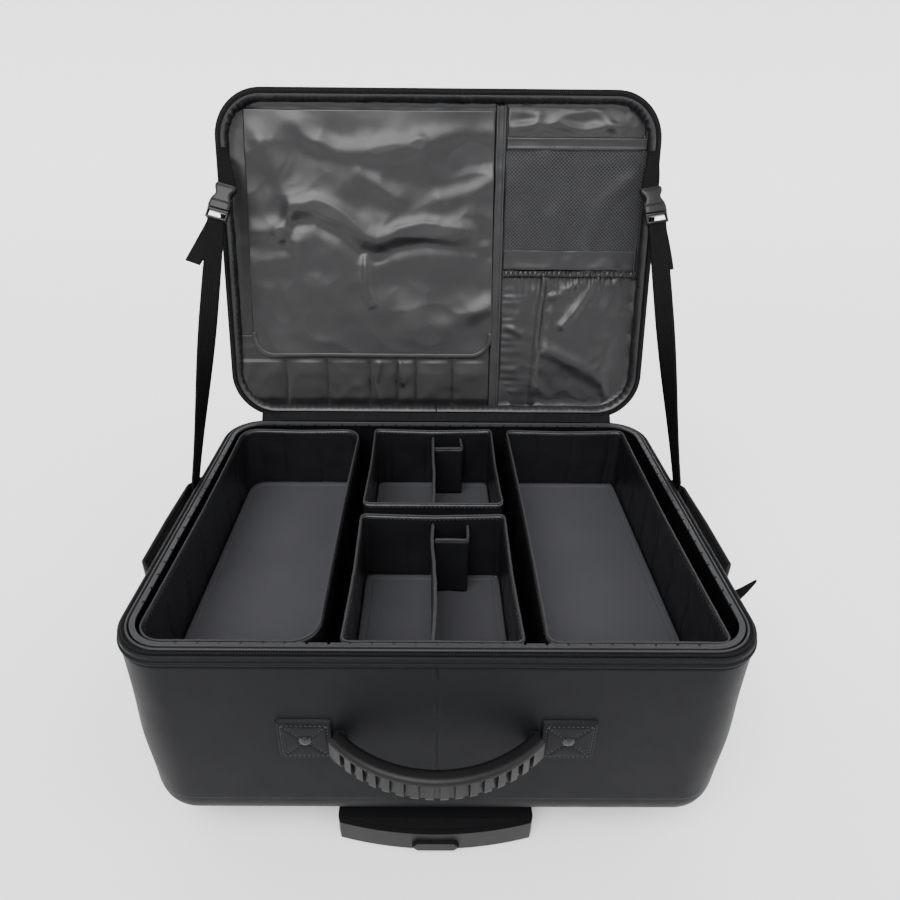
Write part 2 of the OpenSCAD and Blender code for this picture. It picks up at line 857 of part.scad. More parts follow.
module wheel_tyre() {
    color("#151516") translate([0, wheel_y, wheel_z]) rotate([0, 90, 0]) rotate_extrude()
        translate([(wheel_z + hub_radius) / 2, 0])
            rounded(wheel_z - hub_radius, wheel_width, 3);
}

module hub_left() { translate([-wheel_span / 2, 0, 0]) wheel_hub(); }
module hub_right() { translate([wheel_span / 2, 0, 0]) wheel_hub(); }
module tyre_left() { translate([-wheel_span / 2, 0, 0]) wheel_tyre(); }
module tyre_right() { translate([wheel_span / 2, 0, 0]) wheel_tyre(); }

foot_radius = 11;
foot_drop = 40;

// Feet on the hinge wall, level with the wheels when the case stands up.
module stand_feet() {
    color("#151516") for (side = [-1, 1])
        translate([side * wheel_span / 2, back_y, rim_z - foot_drop]) rotate([-90, 0, 0]) {
            cylinder(r = foot_radius, h = 3);
            cylinder(r = foot_radius - 3, h = 4.5);
        }
}

// Lid. Its frame has x across, y from the hinge axis to the free edge, z from the outer
// face to the rim.

module on_lid() {
    translate([0, hinge_y, hinge_z]) rotate([180 - lid_open, 0, 0])
        translate([0, 0, -lid_thickness - rim_gap / 2]) children();
}

// Moves its children to the middle of the lid.
module mid_lid() {
    on_lid() translate([0, lid_middle, 0]) children();
}

module lid_shell() {
    color("#2b2b2d") mid_lid() difference() {
        tub(lid_width, lid_length, lid_thickness, lid_corner, lid_edge);
        translate([0, 0, lid_wall])
            tub(lid_width - 2 * lid_wall, lid_length - 2 * lid_wall, lid_thickness,
                lid_corner - lid_wall, lid_edge - lid_wall);
        translate([0, 0, lid_thickness - bead_height]) linear_extrude(far)
            rounded_ring(lid_width, lid_length, lid_corner, -bead_height, bead_depth());
    }
}

module lid_bead() {
    color("#222224") mid_lid() translate([0, 0, lid_thickness - bead_height])
        swept_round(lid_width - 2 * bead_depth(), lid_length - 2 * bead_depth(),
            lid_corner - bead_depth()) bead_section();
}

module lid_zip() {
    color("#1b1b1c") on_lid() difference() {
        translate([0, lid_middle, lid_thickness]) linear_extrude(tape)
            rounded_ring(lid_width, lid_length, lid_corner,
                bead_depth() - bead_proud + 0.5, lid_wall + lining);
        span([-hinge_length / 2, -far, 0], [hinge_length / 2, 3 * lid_setback + 2, far]);
    }
}

module lid_lining() {
    width = lid_width - 2 * lid_wall;
    length = lid_length - 2 * lid_wall;
    color("#4a4a4e") mid_lid() difference() {
        translate([0, 0, lid_wall])
            tub(width, length, lid_thickness - lid_wall, lid_corner - lid_wall, lid_edge - lid_wall);
        translate([0, 0, lid_floor]) linear_extrude(far)
            rounded(width - 2 * lining, length - 2 * lining, lid_inner_corner);
    }
}

// The outline inside the lid's lining, in the lid's frame.
module lid_inside(gap) {
    translate([0, lid_middle]) rounded(2 * (lid_inner_half - gap),
        lid_length - 2 * (lid_wall + lining + gap), lid_inner_corner - gap);
}

// Half the width inside the lining at a distance from the hinge.
function lid_half(y, gap) =
    let (radius = lid_inner_corner - gap,
        half_length = lid_length / 2 - lid_wall - lining - gap,
        past = max(0, abs(y - lid_middle) - (half_length - radius)))
    lid_inner_half - gap - radius + sqrt(max(0, radius * radius - past * past));

flap_left = -203;
flap_right = 62;
flap_bottom = 70;
flap_top = 322;
slot_height = 3;
slot_edges = [-223, -170, -125, -79, -48, -22, 16, flap_right - 3];

// Flat pouches for brushes, side by side under the flap.
module brush_slots() {
    color("#3c3c40") on_lid() intersection() {
        translate([0, 0, lid_floor]) linear_extrude(slot_height) lid_inside(seat);
        for (k = [0 : len(slot_edges) - 2])
            span([slot_edges[k] + groove / 2, lid_grip_back + 1, lid_floor],
                [slot_edges[k + 1] - groove / 2, 2 * flap_bottom, lid_floor + slot_height]);
    }
}

flap_thickness = 1.4;
flap_low = lid_floor + slot_height + 0.6;

// Height of the flap's soft folds above its lowest level, over u across and v up.
function flap_fold(u, v) = (1 - v) * (0.9 + 0.9 * sin(400 * u + 60 * v))
    + 0.7 * (1 + sin(260 * v + 150 * u)) * (1 - v * v)
    + 0.9 * exp(-pow((u - 0.42 - 0.3 * v) / 0.08, 2)) * (1 - v);

module brush_flap() {
    color("#55555a") on_lid() sheet(26, 22, function(u, v, top)
        let (y = flap_bottom + v * (flap_top - flap_bottom),
            corner = 22,
            low = max(0, corner - (y - flap_bottom)),
            cut = corner - sqrt(corner * corner - low * low),
            left = -min(-flap_left, lid_half(y, 2)) + cut + 4 * v,
            right = flap_right - cut - 4 * v)
        [left + u * (right - left), y, flap_low + flap_fold(u, v) + top * flap_thickness]);
}

band_x = [flap_right + 1.5, flap_right + 9];
mesh_x = [band_x[1] + 1, 214];
mesh_y = [186, 286];
hem_y = [152, 160];
tape_stack = 3;

// Sewn tapes: beside the flap, above and below the mesh, and over the gathered pocket.
module lid_tapes() {
    top = lid_floor + tape_stack;
    color("#2d2d30") on_lid() intersection() {
        translate([0, 0, lid_floor]) linear_extrude(lid_well) lid_inside(seat);
        union() {
            span([band_x[0], lid_grip_back + 1, lid_floor], [band_x[1], flap_top + 4, top + 1]);
            span([mesh_x[0], mesh_y[1], lid_floor], [mesh_x[1] + 6, mesh_y[1] + 12, top + 1.2]);
            span([mesh_x[0], mesh_y[0] - 9, lid_floor], [mesh_x[1] + 6, mesh_y[0], top]);
            span([mesh_x[0], hem_y[0] + 6, lid_floor], [mesh_x[1] + 6, hem_y[1] + 8, top]);
            span([flap_left + 16, flap_top - 8, lid_floor],
                [flap_right, flap_top + 8, flap_low - seat]);
        }
    }
}

net_columns = 16;
net_rows = 12;
net_thread = 1.4;

// The mesh pocket's flat net, held between the two tapes.
module mesh_net() {
    width = mesh_x[1] - mesh_x[0];
    height = mesh_y[1] - mesh_y[0] - 2 * seat;
    pitch = [(width - net_thread) / net_columns, (height - net_thread) / net_rows];
    color("#2d2d30") on_lid() translate([mesh_x[0], mesh_y[0] + seat, lid_floor + tape_stack - 1])
        linear_extrude(0.8) difference() {
            square([width, height]);
            for (i = [0 : net_columns - 1], j = [0 : net_rows - 1])
                translate([i * pitch[0] + net_thread, j * pitch[1] + net_thread])
                    square([pitch[0] - net_thread, pitch[1] - net_thread]);
        }
}

// Height of the gathered pocket's folds, which run down from its elastic hem.
function pocket_fold(u, v) =
    0.8 + 2.1 * sin(180 * v) * (0.6 + 0.4 * sin(180 * u))
    + (0.35 + 0.9 * v) * (1 + sin(360 * 6 * u + 80 * (1 - v)))
    + 1.8 * exp(-pow((u - 0.28 - 0.1 * (1 - v)) / 0.05, 2));

module gathered_pocket() {
    low = lid_grip_back + 3;
    color("#55555a") on_lid() sheet(36, 14, function(u, v, top)
        let (y = low + v * (hem_y[0] + 5 - low),
            right = min(mesh_x[1], lid_half(y, 2)))
        [mesh_x[0] + u * (right - mesh_x[0]), y,
            lid_floor + 0.2 + top * (1 + pocket_fold(u, v) * min(1, 0.25 + 6 * v))]);
}

// Straps. Their upper ends are sewn inside the lid's bead, their lower ends to the body.

strap_x = lid_width / 2 - 8;
strap_top = lid_point(lid_setback + lid_length - strap_setback,
    lid_thickness + tape + seat + webbing / 2);
strap_end = [strap_anchor, rim_z];
strap_angle = atan2(strap_top[1] - strap_end[1], strap_top[0] - strap_end[0]);
strap_length = norm(strap_top - strap_end);

// A point of the lid's frame as [y, z] in the case's frame.
function lid_point(y, z) =
    let (turn = 180 - lid_open, height = z - lid_thickness - rim_gap / 2)
    [hinge_y + y * cos(turn) - height * sin(turn), hinge_z + y * sin(turn) + height * cos(turn)];

// Along the right strap: y runs up to the lid and is 0 at the sewn end, z faces forward.
module on_strap() {
    translate([strap_x, strap_top[0], strap_top[1]]) rotate([strap_angle, 0, 0]) children();
}

// The buckles lean: their lower ends lie outwards, more so on the left.
buckle = [webbing_width + 5, 26, 9];
buckle_half = buckle[1] / 2;
buckle_middle = [-2.7, -strap_lead - buckle_half];
buckle_lean = [16, 10];
plug_bar = 11;
plug_end = -buckle_half - plug_bar;

// A point of a leaning buckle's middle line in the strap's plane, up from its middle.
function buckle_point(lean, height) = buckle_middle + height * [-sin(lean), cos(lean)];

// In the buckle's own frame, with y up its middle line.
module on_buckle(lean) {
    on_strap() translate([buckle_middle[0], buckle_middle[1], 0]) rotate([0, 0, lean]) children();
}

// The short webbing above the buckle, narrow where it is sewn in.
module short_strap(lean) {
    top = buckle_point(lean, buckle_half + seat);
    color("#38383b") on_strap() band([for (t = [0 : 0.25 : 1])
        webbing_ring([t * top[0], t * top[1], 0],
            [cos(lean * t), sin(lean * t), 0] * (0.45 + 0.55 * sin(90 * t)), [0, 0, 1])]);
}

// The buckle's waisted outline, seen from the front.
module socket_outline() {
    difference() {
        square([buckle[0], buckle[1]], center = true);
        for (side = [-1, 1])
            translate([side * (buckle[0] / 2 + 4.5), buckle_half - 11]) circle(8);
    }
}

// The socket: solid above, and below two plates with open sides that take the prongs.
module buckle_socket(lean) {
    color("#2a2a2c") on_buckle(lean) difference() {
        linear_extrude(buckle[2], center = true) socket_outline();
        span([-far, -far, -prong / 2 - slip], [far, buckle_half - 8, prong / 2 + slip]);
    }
}

prong = 4;

// The plug: two prongs inside the socket and a frame that the webbing goes round.
module buckle_plug(lean) {
    half = buckle[0] / 2;
    color("#2a2a2c") on_buckle(lean) linear_extrude(prong, center = true) difference() {
        union() {
            translate([-half + 0.5, plug_end]) square([buckle[0] - 1, plug_bar - 1]);
            for (side = [-1, 1]) translate([side * (half - 5.5) - 2, -buckle_half - 2])
                square([4, buckle[1] - 9]);
        }
        translate([-webbing_width / 2 - 0.5, plug_end + 2.5]) square([webbing_width + 1, 5.5]);
    }
}

// The strap's turn about its own length: face to the front above, flat on the wall below.
function strap_turn(t) = 90 * t * t * (3 - 2 * t);

strap_low_x = side_x + anchor[0] + seat + webbing / 2;
tail_length = 46;
tail_swing = [14, 4];

// The long webbing, from the plug's bar to the wall, where its end is sewn to the anchor,
// and the loose tail that hangs behind it.
module long_strap(lean, swing) {
    rings = 14;
    start = buckle_point(lean, plug_end - seat);
    step = (strap_end - strap_top) / strap_length;
    down = [0, step[0], step[1]];
    front = [0, step[1], -step[0]];
    color("#38383b") band(concat([for (k = [0 : rings])
        let (t = k / rings, along = -start[1] + t * (strap_length + start[1]),
            turn = strap_turn(t), tilt = lean * (1 - t) * (1 - t),
            side = [cos(tilt), 0, 0] - sin(tilt) * down,
            x = strap_x + start[0] + (strap_low_x - strap_x - start[0]) * t)
        webbing_ring([x, strap_top[0] + step[0] * along, strap_top[1] + step[1] * along],
            cos(turn) * side + sin(turn) * front, cos(turn) * front - sin(turn) * side)],
        [for (drop = [16, 40]) webbing_ring([strap_low_x, strap_end[0], strap_end[1] - drop],
            [0, -1, 0], [-1, 0, 0])]));
    color("#38383b") on_buckle(lean) band([for (t = [0 : 0.25 : 1])
        webbing_ring([swing * t, plug_end - seat - tail_length * t,
            -(prong + webbing) / 2 - seat - 10 * t], [1, 0.1, 0], [0, 0, 1])]);
}

// The four corners of the webbing at a point, from its width and its face directions.
function webbing_ring(centre, across, face) =
    let (w = across * webbing_width / 2, h = face * webbing / 2)
    [centre - w - h, centre + w - h, centre + w + h, centre - w + h];

module short_strap_left() { mirror([1, 0, 0]) short_strap(buckle_lean[0]); }
module short_strap_right() { short_strap(buckle_lean[1]); }
module buckle_socket_left() { mirror([1, 0, 0]) buckle_socket(buckle_lean[0]); }
module buckle_socket_right() { buckle_socket(buckle_lean[1]); }
module buckle_plug_left() { mirror([1, 0, 0]) buckle_plug(buckle_lean[0]); }
module buckle_plug_right() { buckle_plug(buckle_lean[1]); }
module long_strap_left() { mirror([1, 0, 0]) long_strap(buckle_lean[0], tail_swing[0]); }
module long_strap_right() { long_strap(buckle_lean[1], tail_swing[1]); }

body_shell();
body_base();
body_lining();
deck_ledges();
rim_bead();
rim_trim();
body_zip();
hinge_roll();
zip_sliders();
zip_pull_left();
zip_pull_right();
rivets();
handle_grip();
handle_patches();
side_handle_left();
side_handle_right();
strap_anchors();
tray_deck();
tray_left();
tray_right();
tray_rear();
tray_front();
board_left();
board_right();
board_rear();
board_front();
divider_rear();
divider_front();
trolley_pan();
outer_tubes();
middle_tubes();
inner_tubes();
trolley_grip();
grip_insert();
grip_button();
button_spring();
wheel_housings();
wheel_axles();
hub_left();
hub_right();
tyre_left();
tyre_right();
stand_feet();
lid_shell();
lid_bead();
lid_zip();
lid_lining();
brush_slots();
brush_flap();
lid_tapes();
mesh_net();
gathered_pocket();
short_strap_left();
short_strap_right();
buckle_socket_left();
buckle_socket_right();
buckle_plug_left();
buckle_plug_right();
long_strap_left();
long_strap_right();
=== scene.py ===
"""Rolling makeup case: the soft pieces, finishes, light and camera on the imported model."""
import math

import bmesh
import bpy
from bpy.props import FloatProperty, FloatVectorProperty, IntProperty, PointerProperty
from mathutils import Matrix, Vector, noise


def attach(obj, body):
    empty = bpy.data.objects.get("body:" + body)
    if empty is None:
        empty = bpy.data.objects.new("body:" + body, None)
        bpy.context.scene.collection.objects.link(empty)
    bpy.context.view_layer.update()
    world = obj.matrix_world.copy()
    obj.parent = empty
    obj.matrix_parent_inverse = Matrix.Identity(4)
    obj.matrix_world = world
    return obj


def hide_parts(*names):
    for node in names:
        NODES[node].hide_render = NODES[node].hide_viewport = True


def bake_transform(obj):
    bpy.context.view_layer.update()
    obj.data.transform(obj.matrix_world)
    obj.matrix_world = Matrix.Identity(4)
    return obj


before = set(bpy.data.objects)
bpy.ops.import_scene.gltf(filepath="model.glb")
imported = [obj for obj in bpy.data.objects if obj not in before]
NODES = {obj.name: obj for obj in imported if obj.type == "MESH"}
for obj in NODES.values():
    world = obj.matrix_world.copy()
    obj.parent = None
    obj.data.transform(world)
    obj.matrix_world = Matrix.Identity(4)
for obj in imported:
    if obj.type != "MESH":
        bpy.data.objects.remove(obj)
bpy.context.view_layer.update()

bl_info = {
    "name": "Rolling makeup case",
    "version": (1, 0, 0),
    "blender": (4, 5, 0),
    "location": "View3D > Sidebar > Makeup case",
    "description": "Builds the fabric, webbing and finishes of a rolling makeup case",
    "category": "Object",
}

# Everything is modelled in millimetres in one of these frames. The lid's frame has x across,
# y from the hinge to the free edge and z from the outer face to the rim.
BODY = Matrix.Scale(0.001, 4)
LID = (BODY @ Matrix.Translation((0, 171, 214.85)) @ Matrix.Rotation(math.radians(76.5), 4, "X")
       @ Matrix.Translation((0, 0, -27.85)))
STRAP_TOP = Vector((219.5, 237.25, 491.0))
STRAP_END = Vector((231.8, 46, 213))
STRAP_ANGLE = math.atan2(STRAP_TOP.z - STRAP_END.z, STRAP_TOP.y - STRAP_END.y)


def strap_frame(side):
    """Along a strap: y runs up to the lid, z faces forward, x runs outwards."""
    return (BODY @ Matrix.Scale(side, 4, (1, 0, 0)) @ Matrix.Translation(STRAP_TOP)
            @ Matrix.Rotation(STRAP_ANGLE, 4, "X"))


# Each buckle's lean in degrees and the sideways swing of its loose tail
BUCKLES = ((-1, "left", 16, 14), (1, "right", 10, 4))
BUCKLE_MIDDLE = Vector((-2.7, -53, 0))
# Lower end of the plug's frame, measured from the buckle's middle
PLUG_END = -24


def buckle_frame(side, lean):
    """A leaning buckle's own frame, with its middle at the origin and y up its middle line."""
    return (strap_frame(side) @ Matrix.Translation(BUCKLE_MIDDLE)
            @ Matrix.Rotation(math.radians(lean), 4, "Z"))


def buckle_point(lean, height):
    turn = math.radians(lean)
    return BUCKLE_MIDDLE + Vector((-math.sin(turn), math.cos(turn), 0)) * height


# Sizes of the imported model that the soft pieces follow, in millimetres
RIM_Z = 213
FRONT_Y = -170.5
SIDE_X = 228.5
DECK_TOP = 137
TRAY_HEIGHT = 75
TRAY_SKIN = 1.6
DIVIDER_FOOT = 5.5
LID_MIDDLE = 172
LID_FLOOR = 14
# Width, length and corner radius inside the lid's lining
LID_INNER = (444, 327, 42.5)
FLAP = {"left": -203, "right": 60, "bottom": 70, "top": 322}
FLAP_Z = 20.3
POCKET_X = 71
HANDLE_Z = 131
RIVET_X = 96

UP = Vector((0, 0, 1))
# How much of a tray wall's bow its top edge also sinks
SAG_SHARE = 0.5
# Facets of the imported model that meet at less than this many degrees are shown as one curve
SMOOTH_ANGLE = 35
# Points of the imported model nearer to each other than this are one, in metres
WELD = 0.00002


class CaseSizes(bpy.types.PropertyGroup):
    """Sizes of the soft details, in millimetres."""

    wrinkle: FloatProperty(name="Wrinkle height", description="Height of the nylon's soft folds",
                           default=3.4, min=0, max=6)
    tray_sag: FloatProperty(name="Tray sag", description="How far a tray's long walls bow",
                            default=2.4, min=0, max=5)
    binding: FloatProperty(name="Binding width", description="Width of the trays' bound edges",
                           default=1.9, min=1.5, max=5)
    stitch_pitch: FloatProperty(name="Stitch pitch", description="Distance between two stitches",
                                default=3.4, min=2, max=6)
    tooth_pitch: FloatProperty(name="Zip pitch", description="Distance between two zip teeth",
                               default=2.1, min=1.5, max=4)
    mesh_columns: IntProperty(name="Mesh columns", description="Cells across the mesh pocket",
                              default=38, min=20, max=60)


def colour_property(name, colour):
    return FloatVectorProperty(name=name, description=name + " colour", subtype="COLOR",
                               size=3, min=0, max=1, default=colour)


class CaseColours(bpy.types.PropertyGroup):
    """Colours of the finishes."""

    coated: colour_property("Coated fabric", (0.0052, 0.0054, 0.0064))
    nylon: colour_property("Shiny nylon", (0.0078, 0.0078, 0.0090))
    lining: colour_property("Matt lining", (0.0032, 0.0032, 0.0038))
    tray: colour_property("Tray fabric", (0.0060, 0.0060, 0.0070))
    board: colour_property("Floor board", (0.0400, 0.0400, 0.0445))
    edging: colour_property("Bound edge", (0.026, 0.026, 0.028))
    webbing: colour_property("Webbing", (0.0028, 0.0028, 0.0030))
    padding: colour_property("Side handle webbing", (0.014, 0.014, 0.015))
    net: colour_property("Mesh threads", (0.060, 0.060, 0.064))
    plastic: colour_property("Moulded plastic", (0.0050, 0.0050, 0.0056))
    buckle: colour_property("Buckle plastic", (0.0080, 0.0080, 0.0086))
    metal: colour_property("Dark nickel", (0.045, 0.045, 0.048))
    tube: colour_property("Satin tube", (0.30, 0.30, 0.32))
    rubber: colour_property("Rubber", (0.004, 0.004, 0.004))
    floor: colour_property("Floor", (0.93, 0.93, 0.93))


# Materials

class Term:
    """A socket in a sum: each operator adds one Math node."""

    def __init__(self, finish, socket):
        self.finish, self.socket = finish, socket

    def math(self, operation, *others):
        values = {i + 1: other for i, other in enumerate(others)}
        node = self.finish.node("ShaderNodeMath", {"operation": operation}, {0: self, **values})
        return Term(self.finish, node.outputs[0])

    def flipped(self, operation, other):
        node = self.finish.node("ShaderNodeMath", {"operation": operation}, {0: other, 1: self})
        return Term(self.finish, node.outputs[0])

    def __add__(self, other):
        return self.math("ADD", other)

    def __sub__(self, other):
        return self.math("SUBTRACT", other)

    def __mul__(self, other):
        return self.math("MULTIPLY", other)

    def __pow__(self, other):
        return self.math("POWER", other)

    def __rsub__(self, other):
        return self.flipped("SUBTRACT", other)

    __radd__ = __add__
    __rmul__ = __mul__


class Finish:
    """One procedural material round a Principled shader."""

    made = {}

    def __init__(self, name, **constants):
        self.material = bpy.data.materials.new(name)
        self.material.use_nodes = True
        self.tree = self.material.node_tree
        self.shader = self.tree.nodes["Principled BSDF"]
        for socket, value in constants.items():
            self.shader.inputs[socket.replace("_", " ")].default_value = value
        coordinates = self.node("ShaderNodeTexCoord")
        self.place = coordinates.outputs["Object"]
        self.uv = coordinates.outputs["UV"]
        Finish.made[name] = self.material

    def node(self, kind, settings=None, inputs=None):
        node = self.tree.nodes.new(kind)
        for key, value in (settings or {}).items():
            setattr(node, key, value)
        for key, value in (inputs or {}).items():
            if isinstance(value, Term):
                value = value.socket
            if isinstance(value, bpy.types.NodeSocket):
                self.tree.links.new(value, node.inputs[key])
            else:
                node.inputs[key].default_value = value
        return node

    def noise(self, scale, detail=2, roughness=0.5, stretch=None, ridged=False):
        where = self.place
        if stretch:
            where = self.node("ShaderNodeMapping", None, {0: where, "Scale": stretch}).outputs[0]
        kind = {"noise_type": "RIDGED_MULTIFRACTAL", "normalize": True} if ridged else None
        node = self.node("ShaderNodeTexNoise", kind,
                         {0: where, "Scale": scale, "Detail": detail, "Roughness": roughness})
        return Term(self, node.outputs[0])

    def wave(self, pitch, axis, sharp=1.0):
        """A ridge every pitch units along an axis of the UV map."""
        split = self.node("ShaderNodeSeparateXYZ", None, {0: self.uv})
        turn = Term(self, split.outputs[axis]) * (2 * math.pi / pitch)
        ridge = turn.math("SINE") * 0.5 + 0.5
        return ridge ** sharp if sharp != 1 else ridge

    def shade(self, low, high, mask):
        """Base colour between two colours, by a mask."""
        mix = self.node("ShaderNodeMix", {"data_type": "RGBA"},
                        {0: mask, 6: (*low, 1), 7: (*high, 1)})
        self.tree.links.new(mix.outputs[2], self.shader.inputs["Base Color"])

    def rough(self, value):
        self.tree.links.new(value.socket, self.shader.inputs["Roughness"])

    def bump(self, *layers):
        """Layers of (height, strength, distance in metres), from coarse to fine."""
        normal = None
        for height, strength, distance in layers:
            inputs = {"Height": height, "Strength": strength, "Distance": distance}
            if normal:
                inputs["Normal"] = normal
            normal = self.node("ShaderNodeBump", None, inputs).outputs[0]
        self.tree.links.new(normal, self.shader.inputs["Normal"])


def scaled(colour, factor):
    return tuple(min(1, c * factor) for c in colour)


def make_finishes(colours):
    """Adds every material of the case."""
    def colour(name):
        return tuple(getattr(colours, name))

    f = Finish("coated_fabric", Roughness=0.5, IOR=1.45, Specular_IOR_Level=0.10)
    grain = f.noise(1900, 2, 0.6)
    cells = Term(f, f.node("ShaderNodeTexVoronoi", {"feature": "DISTANCE_TO_EDGE"},
                           {0: f.place, "Scale": 950}).outputs[0])
    dents = f.noise(11, 2)
    f.shade(scaled(colour("coated"), 0.86), scaled(colour("coated"), 1.14), f.noise(30, 4, 0.6))
    f.rough(f.noise(60, 3) * 0.16 + 0.42)
    f.bump((dents, 0.35, 0.004), (cells, 0.25, 0.0003), (grain, 0.25, 0.0002))

    for name, bright, shine in (("nylon", 1.0, 0.40), ("nylon_dark", 0.5, 0.42)):
        f = Finish(name, Roughness=shine, Specular_IOR_Level=0.5)
        weave = f.wave(0.55, "X") * f.wave(0.55, "Y")
        crumple = f.noise(26, 5, 0.55, ridged=True)
        soft = f.noise(13, 2)
        f.shade(scaled(colour("nylon"), 0.85 * bright), scaled(colour("nylon"), 1.15 * bright),
                f.noise(24, 3))
        f.rough(f.noise(40, 3) * 0.14 + (shine - 0.06))
        f.bump((soft, 0.7, 0.007), (crumple, 0.22, 0.0016), (weave, 0.14, 0.00012))

    for name, key, shine, gloss in (("lining_fabric", "lining", 0.62, 0.07),
                                    ("tray_fabric", "tray", 0.34, 0.42)):
        f = Finish(name, Roughness=shine, Specular_IOR_Level=gloss)
        weave = f.wave(0.8, "X") * f.wave(0.8, "Y")
        f.shade(scaled(colour(key), 0.8), scaled(colour(key), 1.2), f.noise(28, 4, 0.6))
        f.rough(f.noise(50, 2) * 0.14 + (shine - 0.06))
        f.bump((f.noise(16, 2), 0.7, 0.006), (f.noise(60, 3), 0.3, 0.0016), (weave, 0.2, 0.0002))

    f = Finish("board_fabric", Roughness=0.66, Specular_IOR_Level=0.14)
    weave = f.wave(0.9, "X") * f.wave(0.9, "Y")
    f.shade(scaled(colour("board"), 0.88), scaled(colour("board"), 1.1), f.noise(14, 4, 0.65))
    f.rough(f.noise(30, 2) * 0.1 + 0.6)
    f.bump((f.noise(9, 2), 0.3, 0.004), (weave, 0.3, 0.0002), (f.noise(1400, 2), 0.2, 0.0002))

    for name in ("edging", "net"):
        f = Finish(name, Roughness=0.5, Specular_IOR_Level=0.2)
        ribs = f.wave(1.1, "X", sharp=0.7)
        f.shade(scaled(colour(name), 0.72), scaled(colour(name), 1.15), ribs * 0.6 + f.noise(40, 2) * 0.4)
        f.bump((ribs, 0.5, 0.0004), (f.noise(900, 2), 0.2, 0.0002))

    for name in ("webbing", "padding"):
        f = Finish(name, Roughness=0.6, Specular_IOR_Level=0.08)
        ribs = f.wave(1.6, "Y", sharp=0.8)
        cords = f.wave(2.5, "X", sharp=0.6)
        f.shade(scaled(colour(name), 0.7), scaled(colour(name), 1.3), ribs * cords)
        f.rough(ribs * 0.12 + 0.52)
        f.bump((cords, 0.5, 0.0006), (ribs, 0.6, 0.0005), (f.noise(1500, 2), 0.2, 0.0002))

    f = Finish("thread", Roughness=0.5)
    f.shade(scaled(colour("edging"), 0.5), scaled(colour("edging"), 0.75), f.noise(1200, 2))
    f.bump((f.noise(2500, 2), 0.3, 0.0001))

    f = Finish("zip_tape", Roughness=0.62, Specular_IOR_Level=0.08)
    ribs = f.noise(700, 2)
    f.shade(scaled(colour("lining"), 0.7), scaled(colour("lining"), 1.3), ribs)
    f.bump((ribs, 0.4, 0.0003), (f.noise(1500, 2), 0.2, 0.0002))

    for name, key, shine, grains in (("moulded", "plastic", 0.42, 0.35),
                                     ("buckle", "buckle", 0.3, 0.12),
                                     ("glossy", "buckle", 0.20, 0.03)):
        f = Finish(name, Roughness=shine, Specular_IOR_Level=0.2)
        f.shade(scaled(colour(key), 0.85), scaled(colour(key), 1.15), f.noise(45, 4, 0.6))
        f.rough(f.noise(70, 3) * 0.14 + (shine - 0.07))
        f.bump((f.noise(1600, 2), grains, 0.00025), (f.noise(90, 2), 0.08, 0.0008))

    for name, key, shine in (("dark_nickel", "metal", 0.28), ("satin_tube", "tube", 0.34)):
        f = Finish(name, Roughness=shine, Metallic=1.0)
        brushed = f.noise(260, 3, 0.6, stretch=(1, 0.04, 1))
        f.shade(scaled(colour(key), 0.8), scaled(colour(key), 1.2), brushed)
        f.rough(brushed * 0.2 + (shine - 0.1))
        f.bump((brushed, 0.08, 0.0003))

    f = Finish("rubber", Roughness=0.7)
    f.shade(scaled(colour("rubber"), 0.8), scaled(colour("rubber"), 1.5), f.noise(60, 4, 0.6))
    f.bump((f.noise(800, 3), 0.3, 0.0003))

    f = Finish("floor", Roughness=0.9)
    f.shade(scaled(colour("floor"), 0.985), colour("floor"), f.noise(3, 2))


# Modelling

def surface(columns, rows, place, size):
    """A grid whose points place(u, v) gives, with a UV map in millimetres of its flat size."""
    bm = bmesh.new()
    uv = bm.loops.layers.uv.new("UVMap")
    bmesh.ops.create_grid(bm, x_segments=columns, y_segments=rows, size=0.5)
    for face in bm.faces:
        for loop in face.loops:
            loop[uv].uv = ((loop.vert.co.x + 0.5) * size[0], (loop.vert.co.y + 0.5) * size[1])
    for vert in bm.verts:
        vert.co = place(vert.co.x + 0.5, vert.co.y + 0.5)
    bmesh.ops.remove_doubles(bm, verts=bm.verts, dist=0.01)
    return bm


def sweep(path, count, half_width, half_height, length, closed=False, power=3, sides=16, turns=None):
    """A flattened tube along path(t), which gives a centre, an across and an up direction."""
    def place(u, v):
        angle = 2 * math.pi * v
        c, s = math.cos(angle), math.sin(angle)
        across = math.copysign(abs(c) ** (2 / power), c) * half_width
        up = math.copysign(abs(s) ** (2 / power), s) * half_height
        if not closed and turns:
            squeeze = min(1, 0.05 + 4 * min(u, 1 - u) * turns)
            across, up = across * squeeze, up * squeeze
        centre, a, b = path(u)
        return centre + a * across + b * up
    bm = surface(count, sides, place, (length, 4 * (half_width + half_height)))
    if not closed:
        ends = [edge for edge in bm.edges if edge.is_boundary]
        bmesh.ops.holes_fill(bm, edges=ends, sides=sides + 1)
    return bm


def piece(name, bm, where, body, finish, replaced=(), thickness=None, offset=0):
    """Makes an object of a mesh in its own frame, finishes it and lets it ride on a body."""
    bm.transform(where)
    bmesh.ops.recalc_face_normals(bm, faces=bm.faces)
    mesh = bpy.data.meshes.new(name)
    bm.to_mesh(mesh)
    bm.free()
    mesh.polygons.foreach_set("use_smooth", [True] * len(mesh.polygons))
    mesh.materials.append(Finish.made[finish])
    obj = bpy.data.objects.new(name, mesh)
    bpy.context.scene.collection.objects.link(obj)
    if thickness:
        solidify = obj.modifiers.new("thickness", "SOLIDIFY")
        solidify.thickness, solidify.offset = thickness / 1000, offset
    if body:
        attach(obj, body)
    if replaced:
        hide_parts(*replaced)
    return obj


